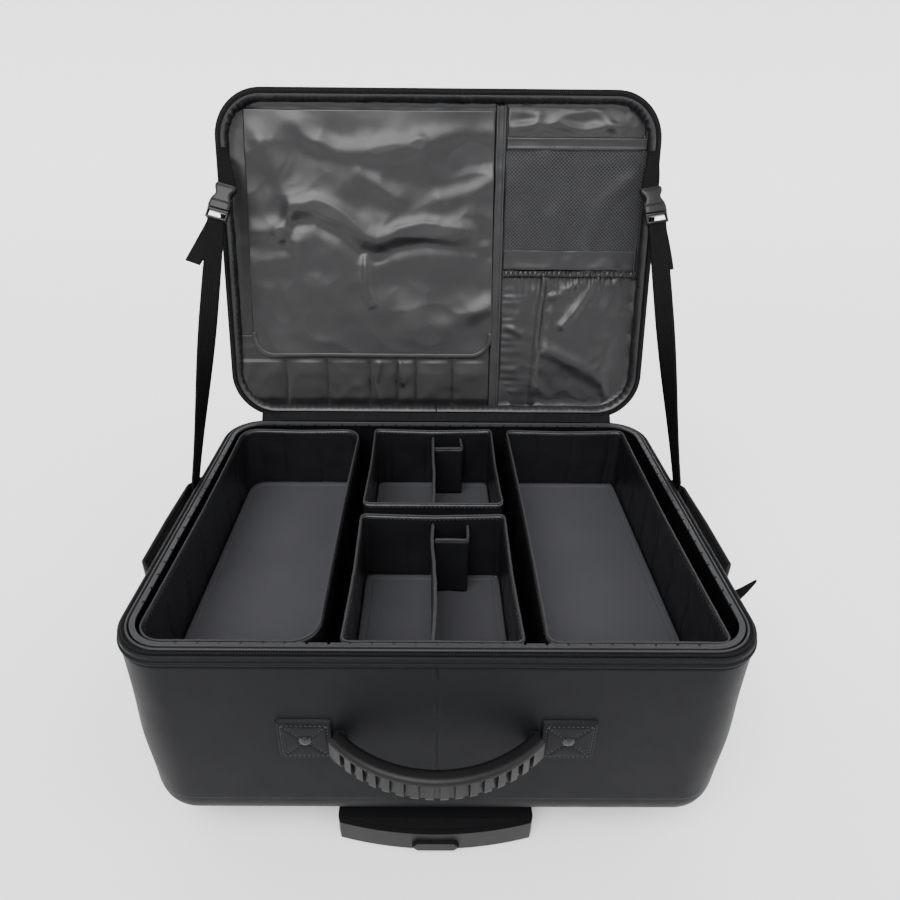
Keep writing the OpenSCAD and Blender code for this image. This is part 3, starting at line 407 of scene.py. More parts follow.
def dress(finish, *names):
    """Gives CAD nodes a finish, with their facets welded and smoothed."""
    for name in names:
        obj = NODES[name]
        obj.data.materials.clear()
        obj.data.materials.append(Finish.made[finish])
        obj.data.polygons.foreach_set("use_smooth", [True] * len(obj.data.polygons))
        weld = obj.modifiers.new("weld", "WELD")
        weld.merge_threshold = WELD
        split = obj.modifiers.new("edges", "EDGE_SPLIT")
        split.split_angle = math.radians(SMOOTH_ANGLE)


def outline(width, depth, radius, share):
    """A point on a rounded rectangle and its outward direction, from the middle of the front."""
    quarter = math.pi * radius / 2
    runs = [(width / 2 - radius, 0), (quarter, 1), (depth - 2 * radius, 0), (quarter, 1),
            (width - 2 * radius, 0), (quarter, 1), (depth - 2 * radius, 0), (quarter, 1),
            (width / 2 - radius, 0)]
    total = sum(run for run, _ in runs)
    left = (share % 1) * total
    point, heading = Vector((0, -depth / 2)), 0.0
    for run, bends in runs:
        step = min(left, run)
        if bends:
            turn = step / radius
            centre = point + Vector((-math.sin(heading), math.cos(heading))) * radius
            heading += turn
            point = centre + Vector((math.sin(heading), -math.cos(heading))) * radius
        else:
            point = point + Vector((math.cos(heading), math.sin(heading))) * step
        left -= step
        if left <= 0:
            break
    return point, Vector((math.sin(heading), -math.cos(heading))), total


def perimeter(width, depth, radius):
    return 2 * (width + depth) - (8 - 2 * math.pi) * radius


def stitches(rows, pitch, length=2.2, radius=0.42):
    """Small thread capsules along rows of points; each row holds (point, up) pairs."""
    bm = bmesh.new()
    for row in rows:
        for (a, up), (b, _) in zip(row, row[1:]):
            run = (b - a).length
            count = max(1, round(run / pitch))
            along = (b - a).normalized()
            side = up.cross(along).normalized()
            turn = Matrix((along, side, up)).transposed().to_4x4()
            for k in range(count):
                at = a.lerp(b, (k + 0.5) / count)
                size = Matrix.Diagonal((length / 2, radius, radius, 1))
                bmesh.ops.create_icosphere(bm, subdivisions=1, radius=1,
                                           matrix=Matrix.Translation(at) @ turn @ size)
    return bm


def seams(half_width, half_height):
    """A box of stitching with a cross in it, as three lines round the origin."""
    w, h = half_width, half_height
    return ([(-w, -h), (w, -h), (w, h), (-w, h), (-w, -h)], [(-w, -h), (w, h)], [(-w, h), (w, -h)])


def threads(name, rows, pitch, length=2.2, radius=0.42, where=BODY, body="case"):
    """Stitches along rows of points, as one piece of pale thread."""
    return piece(name, stitches(rows, pitch, length, radius), where, body, "thread")


def lid_cloth(name, bm, finish, replaced=(), thickness=None, body="lid"):
    """A shiny piece in the lid's frame."""
    return piece(name, bm, LID, body, finish, replaced, thickness)


def soft(x, y, seed, scale):
    """Smooth noise between -1 and 1."""
    return noise.noise(Vector((x / scale, y / scale, seed)))


def ridged(x, y, seed, scale):
    """Noise with sharp crests, from 0 to 1."""
    warp = 6 * soft(x, y, seed + 9, scale * 1.3)
    return 1 - abs(noise.noise(Vector(((x + warp) / scale, (y - warp) / scale, seed)))) * 2.2


def crease(x, y, line, width):
    """How close a point is to a line of points: 1 on it, falling to 0 a width away."""
    best = 1e9
    for (ax, ay), (bx, by) in zip(line, line[1:]):
        dx, dy = bx - ax, by - ay
        t = max(0, min(1, ((x - ax) * dx + (y - ay) * dy) / (dx * dx + dy * dy)))
        best = min(best, (x - ax - t * dx) ** 2 + (y - ay - t * dy) ** 2)
    return math.exp(-best / (width * width))


def lid_half(y, gap):
    """Half the width inside the lid's lining at a distance from the hinge."""
    width, length, radius = LID_INNER
    past = max(0, abs(y - LID_MIDDLE) - (length / 2 - radius))
    return width / 2 - gap - radius + math.sqrt(max(0, radius * radius - past * past))


# Lines of the flap's large folds, in the lid's frame: points, width and height
FLAP_FOLDS = [
    ([(-156, 322), (-148, 314), (-128, 293), (-104, 284), (-78, 281), (-20, 288)], 10, 1.1),
    ([(-166, 198), (-152, 226), (-130, 230), (-97, 216), (-78, 199), (-64, 194), (-44, 201), (-14, 208),
      (34, 204)], 9, 1.35),
    ([(-163, 190), (-151, 210), (-130, 212), (-101, 197), (-82, 181), (-67, 176), (-44, 184), (-14, 191),
      (34, 187)], 8, -0.8),
    ([(3, 236), (32, 243), (54, 251)], 9, 0.7),
    ([(-40, 206), (-4, 197), (52, 187)], 7, 0.6),
    ([(-17, 295), (22, 303), (56, 303)], 9, 0.6),
    ([(14, 104), (36, 116), (53, 126)], 12, 0.8),
    ([(-201, 202), (-173, 203), (-150, 190)], 9, 0.8),
    ([(-190, 300), (-172, 270), (-155, 230)], 12, 0.9),
    ([(-82, 261), (-42, 236)], 8, 0.6),
    ([(-77, 176), (-76, 143), (-71, 128)], 4, 0.9),
    ([(-120, 150), (-60, 120), (0, 100)], 22, 0.5),
]
# Where the seams between the brush slots stand, across the lid
SLOT_EDGES = [-228, -168, -122, -75, -45, -24, 17, 59]


def flap_height(x, y, wrinkle):
    rise = sum(height * crease(x, y, line, width) for line, width, height in FLAP_FOLDS)
    rise += 1.15 * soft(x, y, 1, 74) + 0.40 * soft(x, y, 2, 30)
    rise += 0.50 * ridged(x, y * 1.4, 3, 60) + 0.08 * ridged(x * 1.2, y, 4, 24)
    return wrinkle * rise * 0.95


class CASE_OT_stage(bpy.types.Operator):
    """Floor, soft studio lights, world and the camera at the photograph's angle"""

    bl_idname = "case.stage"
    bl_label = "Stage"

    # Half size of the floor, where it starts to curve up and the curve's radius, in metres
    FLOOR_HALF, FLOOR_BEND, FLOOR_RADIUS = 9, 2, 1.5

    def execute(self, context):
        scene = context.scene
        bm = bmesh.new()
        bmesh.ops.create_grid(bm, x_segments=8, y_segments=120, size=self.FLOOR_HALF)
        for vert in bm.verts:
            past, radius = max(0, vert.co.y - self.FLOOR_BEND), self.FLOOR_RADIUS
            bend = min(past / radius, math.pi / 2)
            vert.co.z = radius * (1 - math.cos(bend)) + max(0, past - radius * math.pi / 2)
            vert.co.y = min(vert.co.y, self.FLOOR_BEND) + radius * math.sin(bend)
        for face in bm.faces:
            face.smooth = True
        mesh = bpy.data.meshes.new("floor")
        bm.to_mesh(mesh)
        bm.free()
        mesh.materials.append(Finish.made["floor"])
        floor = bpy.data.objects.new("floor", mesh)
        scene.collection.objects.link(floor)

        world = bpy.data.worlds.new("studio")
        world.use_nodes = True
        background = world.node_tree.nodes["Background"]
        background.inputs["Color"].default_value = (1, 1, 1, 1)
        background.inputs["Strength"].default_value = 0.95
        scene.world = world

        # Each sun's place, its spread in degrees and its strength
        for name, place, spread, strength in (
                ("key", (-0.5, -1.2, 1.9), 48, 4.6), ("fill", (1.6, -0.6, 1.3), 60, 1.2)):
            light = bpy.data.lights.new(name, "SUN")
            light.energy, light.angle = strength, math.radians(spread)
            obj = bpy.data.objects.new(name, light)
            obj.location = place
            obj.rotation_euler = Vector(place).to_track_quat("Z", "Y").to_euler()
            scene.collection.objects.link(obj)

        # The camera was fitted to the rims of body and lid and to the tray edges
        camera = bpy.data.cameras.new("camera")
        camera.lens, camera.sensor_width = 26.19, 36
        camera.shift_x, camera.shift_y = 0.0167, -0.0240
        camera.clip_start = 0.05
        obj = bpy.data.objects.new("camera", camera)
        right = Vector((0.999969, -0.001373, 0.007718))
        up = Vector((-0.00613, 0.476738, 0.879024))
        turn = Matrix((right, up, right.cross(up))).transposed()
        obj.matrix_world = Matrix.Translation((-0.0051, -0.4839, 0.5589)) @ turn.to_4x4()
        scene.collection.objects.link(obj)
        scene.camera = obj
        return {"FINISHED"}


class CASE_OT_shells(bpy.types.Operator):
    """Coated fabric, beads, rims and the hard parts carried over from the CAD"""

    bl_idname = "case.shells"
    bl_label = "Shells and hard parts"

    def execute(self, context):
        dress("coated_fabric", "body_base", "lid_shell", "rim_bead", "lid_bead", "strap_anchors")
        dress("lining_fabric", "body_lining", "deck_ledges", "tray_deck", "hinge_roll")
        dress("edging", "rim_trim")
        dress("zip_tape", "body_zip", "lid_zip")
        dress("moulded", "trolley_pan", "wheel_housings", "trolley_grip", "grip_button", "stand_feet",
              "handle_grip", "hub_left", "hub_right")
        dress("glossy", "grip_insert")
        dress("dark_nickel", "rivets", "zip_sliders", "zip_pull_left", "zip_pull_right", "wheel_axles",
              "button_spring")
        dress("satin_tube", "outer_tubes", "middle_tubes", "inner_tubes")
        dress("rubber", "tyre_left", "tyre_right")

        size, low, high = (457, 341, 38), 58, 213
        total = perimeter(*size)

        def wall(u, v):
            """The padded wall: its sides bulge below the side handles, its skin has soft dents."""
            point, out, _ = outline(*size, u)
            z = low + (high - low) * v
            bulge = 2.8 * out.x ** 2 * math.exp(-((z - 112) / 36) ** 2)
            dent = 0.35 * (soft(u * total, z, 51, 90) - 0.6) * min(1, 12 * v, 12 * (1 - v))
            flat = min(1, abs(point.x) / 130) * abs(out.y)
            reach = 0.15 + bulge + dent * (1 - flat) if z < 205 else -2.55
            return Vector((point.x + out.x * reach, point.y + out.y * reach, min(z, 212.9)))
        piece("body_wall_cover", surface(320, 78, wall, (total, high - low)), BODY, "case",
              "coated_fabric", ("body_shell",), thickness=5, offset=-1)
        return {"FINISHED"}


class CASE_OT_zips(bpy.types.Operator):
    """Coils of zip teeth on the rims of the body and the lid"""

    bl_idname = "case.zips"
    bl_label = "Zip teeth"

    # Half sizes of a tooth: across the zip, along it and upwards
    TOOTH = (1.5, 0.62, 0.75, 1)

    def teeth(self, size, pitch, height, keep):
        bm = bmesh.new()
        total = perimeter(*size)
        for k in range(int(total / pitch)):
            point, out, _ = outline(*size, k * pitch / total)
            if not keep(point):
                continue
            turn = Matrix((out.to_3d(), Vector((-out.y, out.x, 0)), UP)).transposed().to_4x4()
            bmesh.ops.create_icosphere(
                bm, subdivisions=1, radius=1,
                matrix=Matrix.Translation((point.x, point.y, height)) @ turn
                @ Matrix.Diagonal(self.TOOTH))
        return bm

    def execute(self, context):
        pitch = context.scene.case_sizes.tooth_pitch
        body = self.teeth((451.1, 335.1, 35.0), pitch, RIM_Z + 0.8,
                          lambda p: p.y < 150 or abs(p.x) > 175)
        piece("body_zip_teeth", body, BODY, "case", "moulded")
        lid = self.teeth((448.5, 331.5, 44.7), pitch, 26.8,
                         lambda p: p.y > -150 or abs(p.x) > 175)
        piece("lid_zip_teeth", lid, LID @ Matrix.Translation((0, LID_MIDDLE, 0)), "lid",
              "moulded")
        return {"FINISHED"}


class CASE_OT_handle(bpy.types.Operator):
    """Padded patches of the carry handle, with their crossed stitching"""

    bl_idname = "case.handle"
    bl_label = "Carry handle"

    # Half width and half height of a patch, and of the stitching on it
    PATCH = (21, 20.5)
    SEAM = (17, 16.5)

    def patch(self, middle):
        def place(u, v):
            a, b = 2 * u - 1, 2 * v - 1
            edge = max(abs(a), abs(b))
            rise = 3.4 * (1 - edge ** 10) ** 0.5 if edge < 1 else 0
            seam = math.exp(-((edge - 0.82) / 0.05) ** 2)
            cross = math.exp(-(min(abs(a - b), abs(a + b)) / 0.09) ** 2) * (1 if edge < 0.8 else 0)
            dimple = math.exp(-(a * a + b * b) / 0.05)
            rise -= 0.8 * seam + 0.7 * cross + 1.1 * dimple
            round_corner = 1 - 0.035 * (abs(a) * abs(b)) ** 4
            return Vector((middle + self.PATCH[0] * a * round_corner, FRONT_Y - max(0.02, rise),
                           HANDLE_Z + self.PATCH[1] * b * round_corner))
        return surface(44, 44, place, (2 * self.PATCH[0], 2 * self.PATCH[1]))

    def execute(self, context):
        pitch = context.scene.case_sizes.stitch_pitch
        rows, up = [], Vector((0, -1, 0))
        for side, name in ((-1, "left"), (1, "right")):
            piece("handle_patch_" + name, self.patch(side * RIVET_X), BODY, "case",
                  "coated_fabric", ("handle_patches",))
            for line in seams(*self.SEAM):
                rows.append([(Vector((side * RIVET_X + x, FRONT_Y - 2.9, HANDLE_Z + z)), up)
                             for x, z in line])
        threads("patch_stitches", rows, pitch)
        return {"FINISHED"}


class CASE_OT_side_handles(bpy.types.Operator):
    """Padded webbing handles on the side walls, the right one with a pointed tail"""

    bl_idname = "case.side_handles"
    bl_label = "Side handles"

    def execute(self, context):
        front, back, low, high = -92, 84, 182, 204
        middle, half = (front + back) / 2, (back - front) / 2

        def stand(y):
            t = max(0, (half - 12 - abs(y - middle)) / (half - 12))
            return 13 * min(1, 4 * t) * (1 - 0.1 * abs(y - middle) / half)

        for side, name in ((-1, "left"), (1, "right")):
            def path(t, side=side):
                y = front + t * (back - front)
                return (Vector((side * (SIDE_X + 1.9 + stand(y)), y, (low + high) / 2)),
                        Vector((side, 0, 0)), Vector((0, 0, 1)))
            piece("side_handle_pad_" + name, sweep(path, 90, 1.7, 11, back - front, power=5, turns=8),
                  BODY, "case", "padding", ("side_handle_" + name,))
            rows = []
            for end in (front + 6, back - 6):
                for line in seams(5, 8):
                    rows.append([(Vector((side * (SIDE_X + 3.6), end + y, (low + high) / 2 + z)),
                                  Vector((side, 0, 0))) for y, z in line])
            threads("side_handle_stitches_" + name, rows, 3, 2, 0.4)

        def tail(u, v):
            width = 15 * (1 - v) ** 0.8 + 0.8
            centre = Vector((SIDE_X + 4.5 + 4 * v + 10 * v * v, front + 1 - 4 * v, 194 + 22 * v * v))
            across = (u - 0.5) * width
            return centre + Vector((-0.5 * across * v, 0.2 * across, across))
        piece("side_handle_tail", surface(8, 20, tail, (15, 30)), BODY, "case", "webbing",
              thickness=1.6)
        return {"FINISHED"}


class CASE_OT_trays(bpy.types.Operator):
    """Four soft trays with bound edges, floor boards, dividers and small pockets"""

    bl_idname = "case.trays"
    bl_label = "Trays"

    TRAYS = (  # name, middle, width, length, corner radius, seed
        ("left", (-148.83, 0), 132.3, 312, 22, 3.1),
        ("right", (141.83, 0), 132.3, 312, 10, 5.7),
        ("rear", (-3.5, 84), 132.3, 146, 8, 8.2),
        ("front", (-3.5, -79), 132.3, 154, 8, 1.4),
    )
    # Shares of a surface's rows that lie flat: of a tray's floor, and of a board's top
    FLOOR_SHARE = 0.3
    BOARD_SHARE = 0.8

    def edge(self, tray, share, high):
        """A point of a tray's wall at a share of its outline and of its height."""
        _, (mx, my), width, length, radius, seed = tray
        point, out, total = outline(width - 3, length - 3, radius - 1.5, share)
        flat = max(abs(out.x), abs(out.y)) ** 6
        across = 1 - abs(point.y) / (length / 2) if abs(out.x) > 0.7 else 1 - abs(point.x) / (width / 2)
        bow = self.sag * flat * max(0, across) ** 0.6 * high
        run = share * total
        wobble = 1.5 * soft(run, 60 * high, seed, 24) * math.sin(math.pi * min(1, high + 0.08)) * flat
        pleat = math.exp(-(((run + 9 * seed) % 41 - 20.5 + 3 * soft(0, 70 * high, seed, 30)) / 1.6) ** 2)
        wobble += 1.1 * pleat * flat * min(1, 1.25 - high)
        lean = wobble - 0.7 * bow - 0.2
        return Vector((mx + point.x + out.x * lean, my + point.y + out.y * lean)), out, bow

    def wall(self, tray):
        _, (mx, my), width, length, radius, _ = tray
        total = perimeter(width, length, radius)

        def place(u, v):
            if v < self.FLOOR_SHARE:
                point, _, _ = self.edge(tray, u, 0)
                share = v / self.FLOOR_SHARE
                return Vector((mx + (point.x - mx) * share, my + (point.y - my) * share,
                               DECK_TOP + TRAY_SKIN))
            high = (v - self.FLOOR_SHARE) / (1 - self.FLOOR_SHARE)
            point, _, bow = self.edge(tray, u, high)
            return Vector((point.x, point.y,
                           DECK_TOP + TRAY_SKIN + high * (TRAY_HEIGHT - 3.5) - SAG_SHARE * bow * high))
        return surface(int(total / 1.6), 34, place, (total, TRAY_HEIGHT + 40))

    def bound_edge(self, tray):
        total = perimeter(*tray[2:5])

        def path(t):
            point, out, bow = self.edge(tray, t, 1)
            return (Vector((point.x, point.y, DECK_TOP + TRAY_HEIGHT - TRAY_SKIN - SAG_SHARE * bow)),
                    out.to_3d(), UP)
        return sweep(path, int(total / 3), self.binding / 2, 1.5, total, closed=True, sides=12)

    def board(self, tray):
        _, (mx, my), width, length, radius, seed = tray
        size = (width - 10, length - 10, max(4, radius - 5))
        total = perimeter(*size)

        def place(u, v):
            point, out, _ = outline(*size, u)
            if v < self.BOARD_SHARE:
                share = v / self.BOARD_SHARE
                crown = 0.8 * soft(point.x * share, point.y * share, seed, 60)
                return Vector((mx + point.x * share, my + point.y * share,
                               DECK_TOP + 5.0 + crown * (1 - share)))
            turn = (v - self.BOARD_SHARE) / (1 - self.BOARD_SHARE) * math.pi / 2
            reach = 1.4 * math.sin(turn)
            return Vector((mx + point.x + out.x * reach, my + point.y + out.y * reach,
                           DECK_TOP + 3.4 + 1.6 * math.cos(turn)))
        return surface(int(total / 5), 22, place, (total, 60))

    def board_edge(self, tray):
        _, (mx, my), width, length, radius, seed = tray
        size = (width - 15, length - 15, max(3, radius - 7))
        total = perimeter(*size)

        def path(t):
            point, out, _ = outline(*size, t)
            rise = 0.25 * soft(t * total, 0, seed, 9)
            return (Vector((mx + point.x, my + point.y, DECK_TOP + 4.9 + rise)), out.to_3d(), UP)
        return sweep(path, int(total / 4), 3.6, 1.0, total, closed=True, sides=12)

    def divider(self, tray):
        name, (mx, my), _, length, _, seed = tray
        half = length / 2 - 4
        low, high = DECK_TOP + DIVIDER_FOOT, DECK_TOP + TRAY_HEIGHT - 8
        bend = 3.0 if name == "front" else 1.5

        def line(t, h):
            y = -half + 2 * half * t
            lean = bend * math.sin(math.pi * t) * h * math.cos(2.2 * t)
            return Vector((mx + lean + 0.5 * soft(y, 0, seed, 20), my + y,
                           low + (high - low) * h + 1.2 * math.sin(5 * t) * h))
        panel = surface(40, 14, line, (2 * half, high - low))
        edge = sweep(lambda t: (line(t, 1), Vector((1, 0, 0)), UP), 60, 1.5, 1.6, 2 * half,
                     turns=8, sides=12)
        return panel, edge

    def pocket(self, tray):
        _, (mx, my), _, length, _, seed = tray
        reach, deep = 30.0, 21.5
        front = length / 2 - 3.4 - deep
        low, high = DECK_TOP + DIVIDER_FOOT, DECK_TOP + TRAY_HEIGHT - 12

        def line(t, h):
            run = t * (reach + deep)
            if run < reach:
                x, y = run, front
            else:
                x, y = reach, front + (run - reach)
            push = 1.2 * soft(run, 30 * h, seed, 14)
            return Vector((mx + 1 + x + (push if x == reach else 0), my + y + (push if x < reach else 0),
                           low + (high - low) * h))
        panel = surface(36, 14, line, (reach + deep, high - low))
        edge = sweep(lambda t: (line(t, 1), Vector((0, 1, 0)) if t < 0.58 else Vector((1, 0, 0)),
                                UP), 60, 1.3, 1.5, 52, turns=8, sides=12)
        return panel, edge

    def seam_rows(self, tray):
        """Rows of points below the bound edge, on both faces of the wall."""
        total = perimeter(*tray[2:5])
        rows, count = [], int(total / 12)
        for reach in (-1.45, 1.45):
            row = []
            for k in range(count + 1):
                point, out, bow = self.edge(tray, k / count, 0.95)
                row.append((Vector((point.x + out.x * reach, point.y + out.y * reach,
                                    DECK_TOP + TRAY_HEIGHT - 4.6 - SAG_SHARE * bow)), out.to_3d()))
            rows.append(row)
        return rows

    def execute(self, context):
        sizes = context.scene.case_sizes
        self.sag, self.binding = sizes.tray_sag, sizes.binding
        for tray in self.TRAYS:
            name = tray[0]
            body = "tray_" + name
            piece(f"tray_{name}_fabric", self.wall(tray), BODY, body, "tray_fabric",
                  ("tray_" + name,), thickness=2.4)
            piece(f"tray_{name}_binding", self.bound_edge(tray), BODY, body, "edging")
            threads(f"tray_{name}_stitches", self.seam_rows(tray), 4, 2.2, 0.3, BODY, body)
            piece(f"board_{name}_cover", self.board(tray), BODY, body, "board_fabric",
                  ("board_" + name,))
            piece(f"board_{name}_binding", self.board_edge(tray), BODY, body, "board_fabric")
            if name in ("rear", "front"):
                for part, (panel, edge) in (("divider", self.divider(tray)), ("pocket", self.pocket(tray))):
                    replaced = ("divider_" + name,) if part == "divider" else ()
                    piece(f"{part}_{name}_panel", panel, BODY, body, "tray_fabric", replaced,
                          thickness=2.2)
                    piece(f"{part}_{name}_binding", edge, BODY, body, "edging")
        return {"FINISHED"}


class CASE_OT_lid_lining(bpy.types.Operator):
    """Shiny lining of the lid, gathered at the corners"""

    bl_idname = "case.lid_lining"
    bl_label = "Lid lining"

    # Share of the lining's rows that lie on the lid's inner face
    FLAT_SHARE = 0.72

    def execute(self, context):
        width, length, radius = LID_INNER
        total = perimeter(width, length, radius)
        wrinkle = context.scene.case_sizes.wrinkle

        def place(u, v):
            point, out, _ = outline(width - 12, length - 12, radius - 6, u)
            if v < self.FLAT_SHARE:
                share = v / self.FLAT_SHARE
                x, y = point.x * share, LID_MIDDLE + point.y * share
                near = max(0, (share - 0.8) / 0.2)
                rise = 0.35 + wrinkle * (0.30 * ridged(x, y, 5, 30) + 0.22 * soft(x, y, 6, 17) + 0.1)
                return Vector((x, y, LID_FLOOR + 0.6 + rise * (0.6 + 0.4 * near)))
            turn = (v - self.FLAT_SHARE) / (1 - self.FLAT_SHARE)
            corner = 1 - max(abs(out.x), abs(out.y)) ** 8
            run = u * total
            gather = (0.5 + 0.9 * corner) * math.sin(2 * math.pi * run / 7 + 3 * soft(run, 0, 3, 20))
            gather = gather * math.sin(math.pi * min(1, turn + 0.15))
            gather += 0.8 * soft(run, 12 * turn, 7, 9) * (1 - turn)
            lean = min(5.7, 6 * (1 - math.cos(turn * math.pi / 2)) - gather * 0.8 + 0.2)
            start = LID_FLOOR + 0.6 + 0.35 + wrinkle * 0.25
            return Vector((point.x + out.x * lean, LID_MIDDLE + point.y + out.y * lean,
                           start + (25.9 - start) * math.sin(turn * math.pi / 2)))
        lid_cloth("lid_lining_cloth", surface(760, 46, place, (total, 190)), "nylon", ("lid_lining",), 0.6)

        def upper(u, v):
            x, y = POCKET_X + 143 * u, 297 + 34 * v
            x = min(x, lid_half(y, 3))
            rise = 2.4 * crease(x, y, [(78, 306), (110, 312), (150, 304), (185, 309)], 5)
            rise += 2.2 * crease(x, y, [(84, 322), (120, 318), (168, 326)], 5)
            rise += 2.0 * crease(x, y, [(160, 328), (172, 316), (186, 300)], 5) + 1.5 * ridged(x, y, 8, 22)
            return Vector((x, y, 15.6 + rise * math.sin(math.pi * min(1, 0.12 + v))))
        lid_cloth("lid_lining_fold", surface(70, 22, upper, (143, 34)), "nylon", (), 0.6)
        return {"FINISHED"}


class CASE_OT_brush_slots(bpy.types.Operator):
    """Row of brush pouches below the flap"""

    bl_idname = "case.brush_slots"
    bl_label = "Brush slots"

    def execute(self, context):
        wrinkle = context.scene.case_sizes.wrinkle

        def place(u, v):
            y = 9 + 84 * v
            left = -lid_half(y, 5)
            x = left + (59 - left) * u
            k = max(i for i, edge in enumerate(SLOT_EDGES[:-1]) if edge <= max(x, SLOT_EDGES[0]))
            low, high = SLOT_EDGES[k], SLOT_EDGES[k + 1]
            t = min(1, max(0, (x - low) / (high - low)))
            puff = (4 * t * (1 - t)) ** 0.25 * 5.6 * min(1, 0.2 + 5 * v)
            puff *= 1 - 0.55 * max(0, v - 0.5) / 0.5
            puff += 1.6 * crease(x, y, [(-60, 84), (-68, 40), (-63, 14)], 3.4)
            puff += 1.5 * crease(x, y, [(-44, 84), (-38, 40)], 2.6)
            puff += 0.9 * crease(x, y, [(-200, 70), (-214, 50)], 9)
            puff += wrinkle * (0.10 * ridged(x, y, 12, 26) + 0.12 * soft(x, y, 13, 15))
            limit = 7.5 if v < 0.66 else 3.6
            return Vector((x, y, LID_FLOOR + 0.8 + min(limit, max(0.1, puff))))
        lid_cloth("brush_pouches", surface(330, 46, place, (282, 84)), "nylon_dark", ("brush_slots",), 0.6)
        return {"FINISHED"}


class CASE_OT_brush_flap(bpy.types.Operator):
    """Large nylon flap over the brushes, with a bound lower edge"""

    bl_idname = "case.brush_flap"
    bl_label = "Brush flap"

    def point(self, x, y, lift=0.0):
        free = min(1, (FLAP["top"] - y) / 30)
        low = 0.8 * max(0, 1 - (y - FLAP["bottom"]) / 40)
        rise = flap_height(x, y, self.wrinkle) * free - 1.0
        return Vector((x, y, FLAP_Z + low + lift + max(-1.9, min(4.9, rise))))

    def sides(self, y):
        corner = 22
        low = max(0, corner - (y - FLAP["bottom"]))
        cut = corner - math.sqrt(max(0, corner * corner - low * low))
        climb = (y - FLAP["bottom"]) / (FLAP["top"] - FLAP["bottom"])
        left = max(FLAP["left"] + 4 * climb, -lid_half(y, 4))
        return left + cut, FLAP["right"] - 3 * climb - cut

    def execute(self, context):
        self.wrinkle = context.scene.case_sizes.wrinkle

        def place(u, v):
            y = FLAP["bottom"] + (FLAP["top"] - FLAP["bottom"]) * v
            left, right = self.sides(y)
            return self.point(left + (right - left) * u, y)
        flap = lid_cloth("brush_flap_cloth", surface(176, 160, place, (274, 252)), "nylon",
                         ("brush_flap",), 0.7, "flap")
        # The hem runs down the left corner, along the lower edge and up the right corner
        base, inset, reach, steps = FLAP["bottom"], 1.5, 26, 60
        climbs = [base + reach * (k / steps) ** 2 for k in range(steps + 1)]
        low, high = self.sides(base)
        contour = [(self.sides(y)[0] + inset, y + inset) for y in climbs[:0:-1]]
        contour += [(low + k / 30 * (high - low), base + inset) for k in range(1, 30)]
        contour += [(self.sides(y)[1] - inset, y + inset) for y in climbs]

        def hem(t):
            k = min(len(contour) - 2, int(t * (len(contour) - 1)))
            a, b = Vector(contour[k]), Vector(contour[k + 1])
            at = a.lerp(b, t * (len(contour) - 1) - k)
            along = (b - a).normalized()
            return self.point(at.x, at.y, 0.4), Vector((-along.y, along.x, 0)), UP
        edge = piece("brush_flap_binding", sweep(hem, 240, 2.6, 1.3, 300, turns=20, sides=12), LID, "flap",
                     "nylon")
        row = [(self.point(-180 + k * 8.6, FLAP["bottom"] + 6.5, 0.45), UP) for k in range(28)]
        thread = threads("brush_flap_stitches", [row], 4.2, 2.4, 0.35, LID, "flap")
        return {"FINISHED"}


class CASE_OT_lid_tapes(bpy.types.Operator):
    """Sewn strip beside the flap, and the bands above and below the mesh"""

    bl_idname = "case.lid_tapes"
    bl_label = "Lid tapes"

    def band(self, low, high, z, bulge, rib=1.4):
        """A flat sewn band between two corners in the lid's frame, with a rib along each edge."""
        (x0, y0), (x1, y1) = low, high
        upright = y1 - y0 > x1 - x0

        def place(u, v):
            across = u if upright else v
            rise = rib * sum(math.exp(-((across - at) / 0.09) ** 2) for at in (0.16, 0.84))
            ends = 0.0 if 0 < across < 1 else -1.2
            x, y = x0 + (x1 - x0) * u, y0 + (y1 - y0) * v
            return Vector((x, y, z + rise + ends + bulge * soft(x, y, 15, 14)))
        columns, rows = (14, 90) if upright else (90, 14)
        return surface(columns, rows, place, (x1 - x0, y1 - y0))

    def execute(self, context):
        pieces = [
            ("flap_strip", self.band((58.5, 9.5), (70, 329), 17.2, 0.5), "nylon", ("lid_tapes",)),
            ("mesh_top_band", self.band((71, 285), (216, 298), 17.4, 0.3, 0.6), "nylon_dark", ()),
            ("mesh_low_band", self.band((71, 164), (216, 187), 16.3, 1.0, 0.3), "nylon", ()),
            ("mesh_side_band", self.band((211, 155), (219.5, 300), 17.0, 0.4, 0.8), "nylon_dark", ()),
        ]
        for name, bm, finish, replaced in pieces:
            lid_cloth(name, bm, finish, replaced, 0.8)
        rows = []
        for x in (62.3, 66.2):
            rows.append([(Vector((x, y, 17.75)), UP) for y in range(12, 328, 12)])
        for y in (288.2, 295):
            rows.append([(Vector((x, y, 18.0)), UP) for x in range(73, 214, 10)])
        threads("lid_stitches", rows, 4, 2.4, 0.35, LID, "lid")
        return {"FINISHED"}


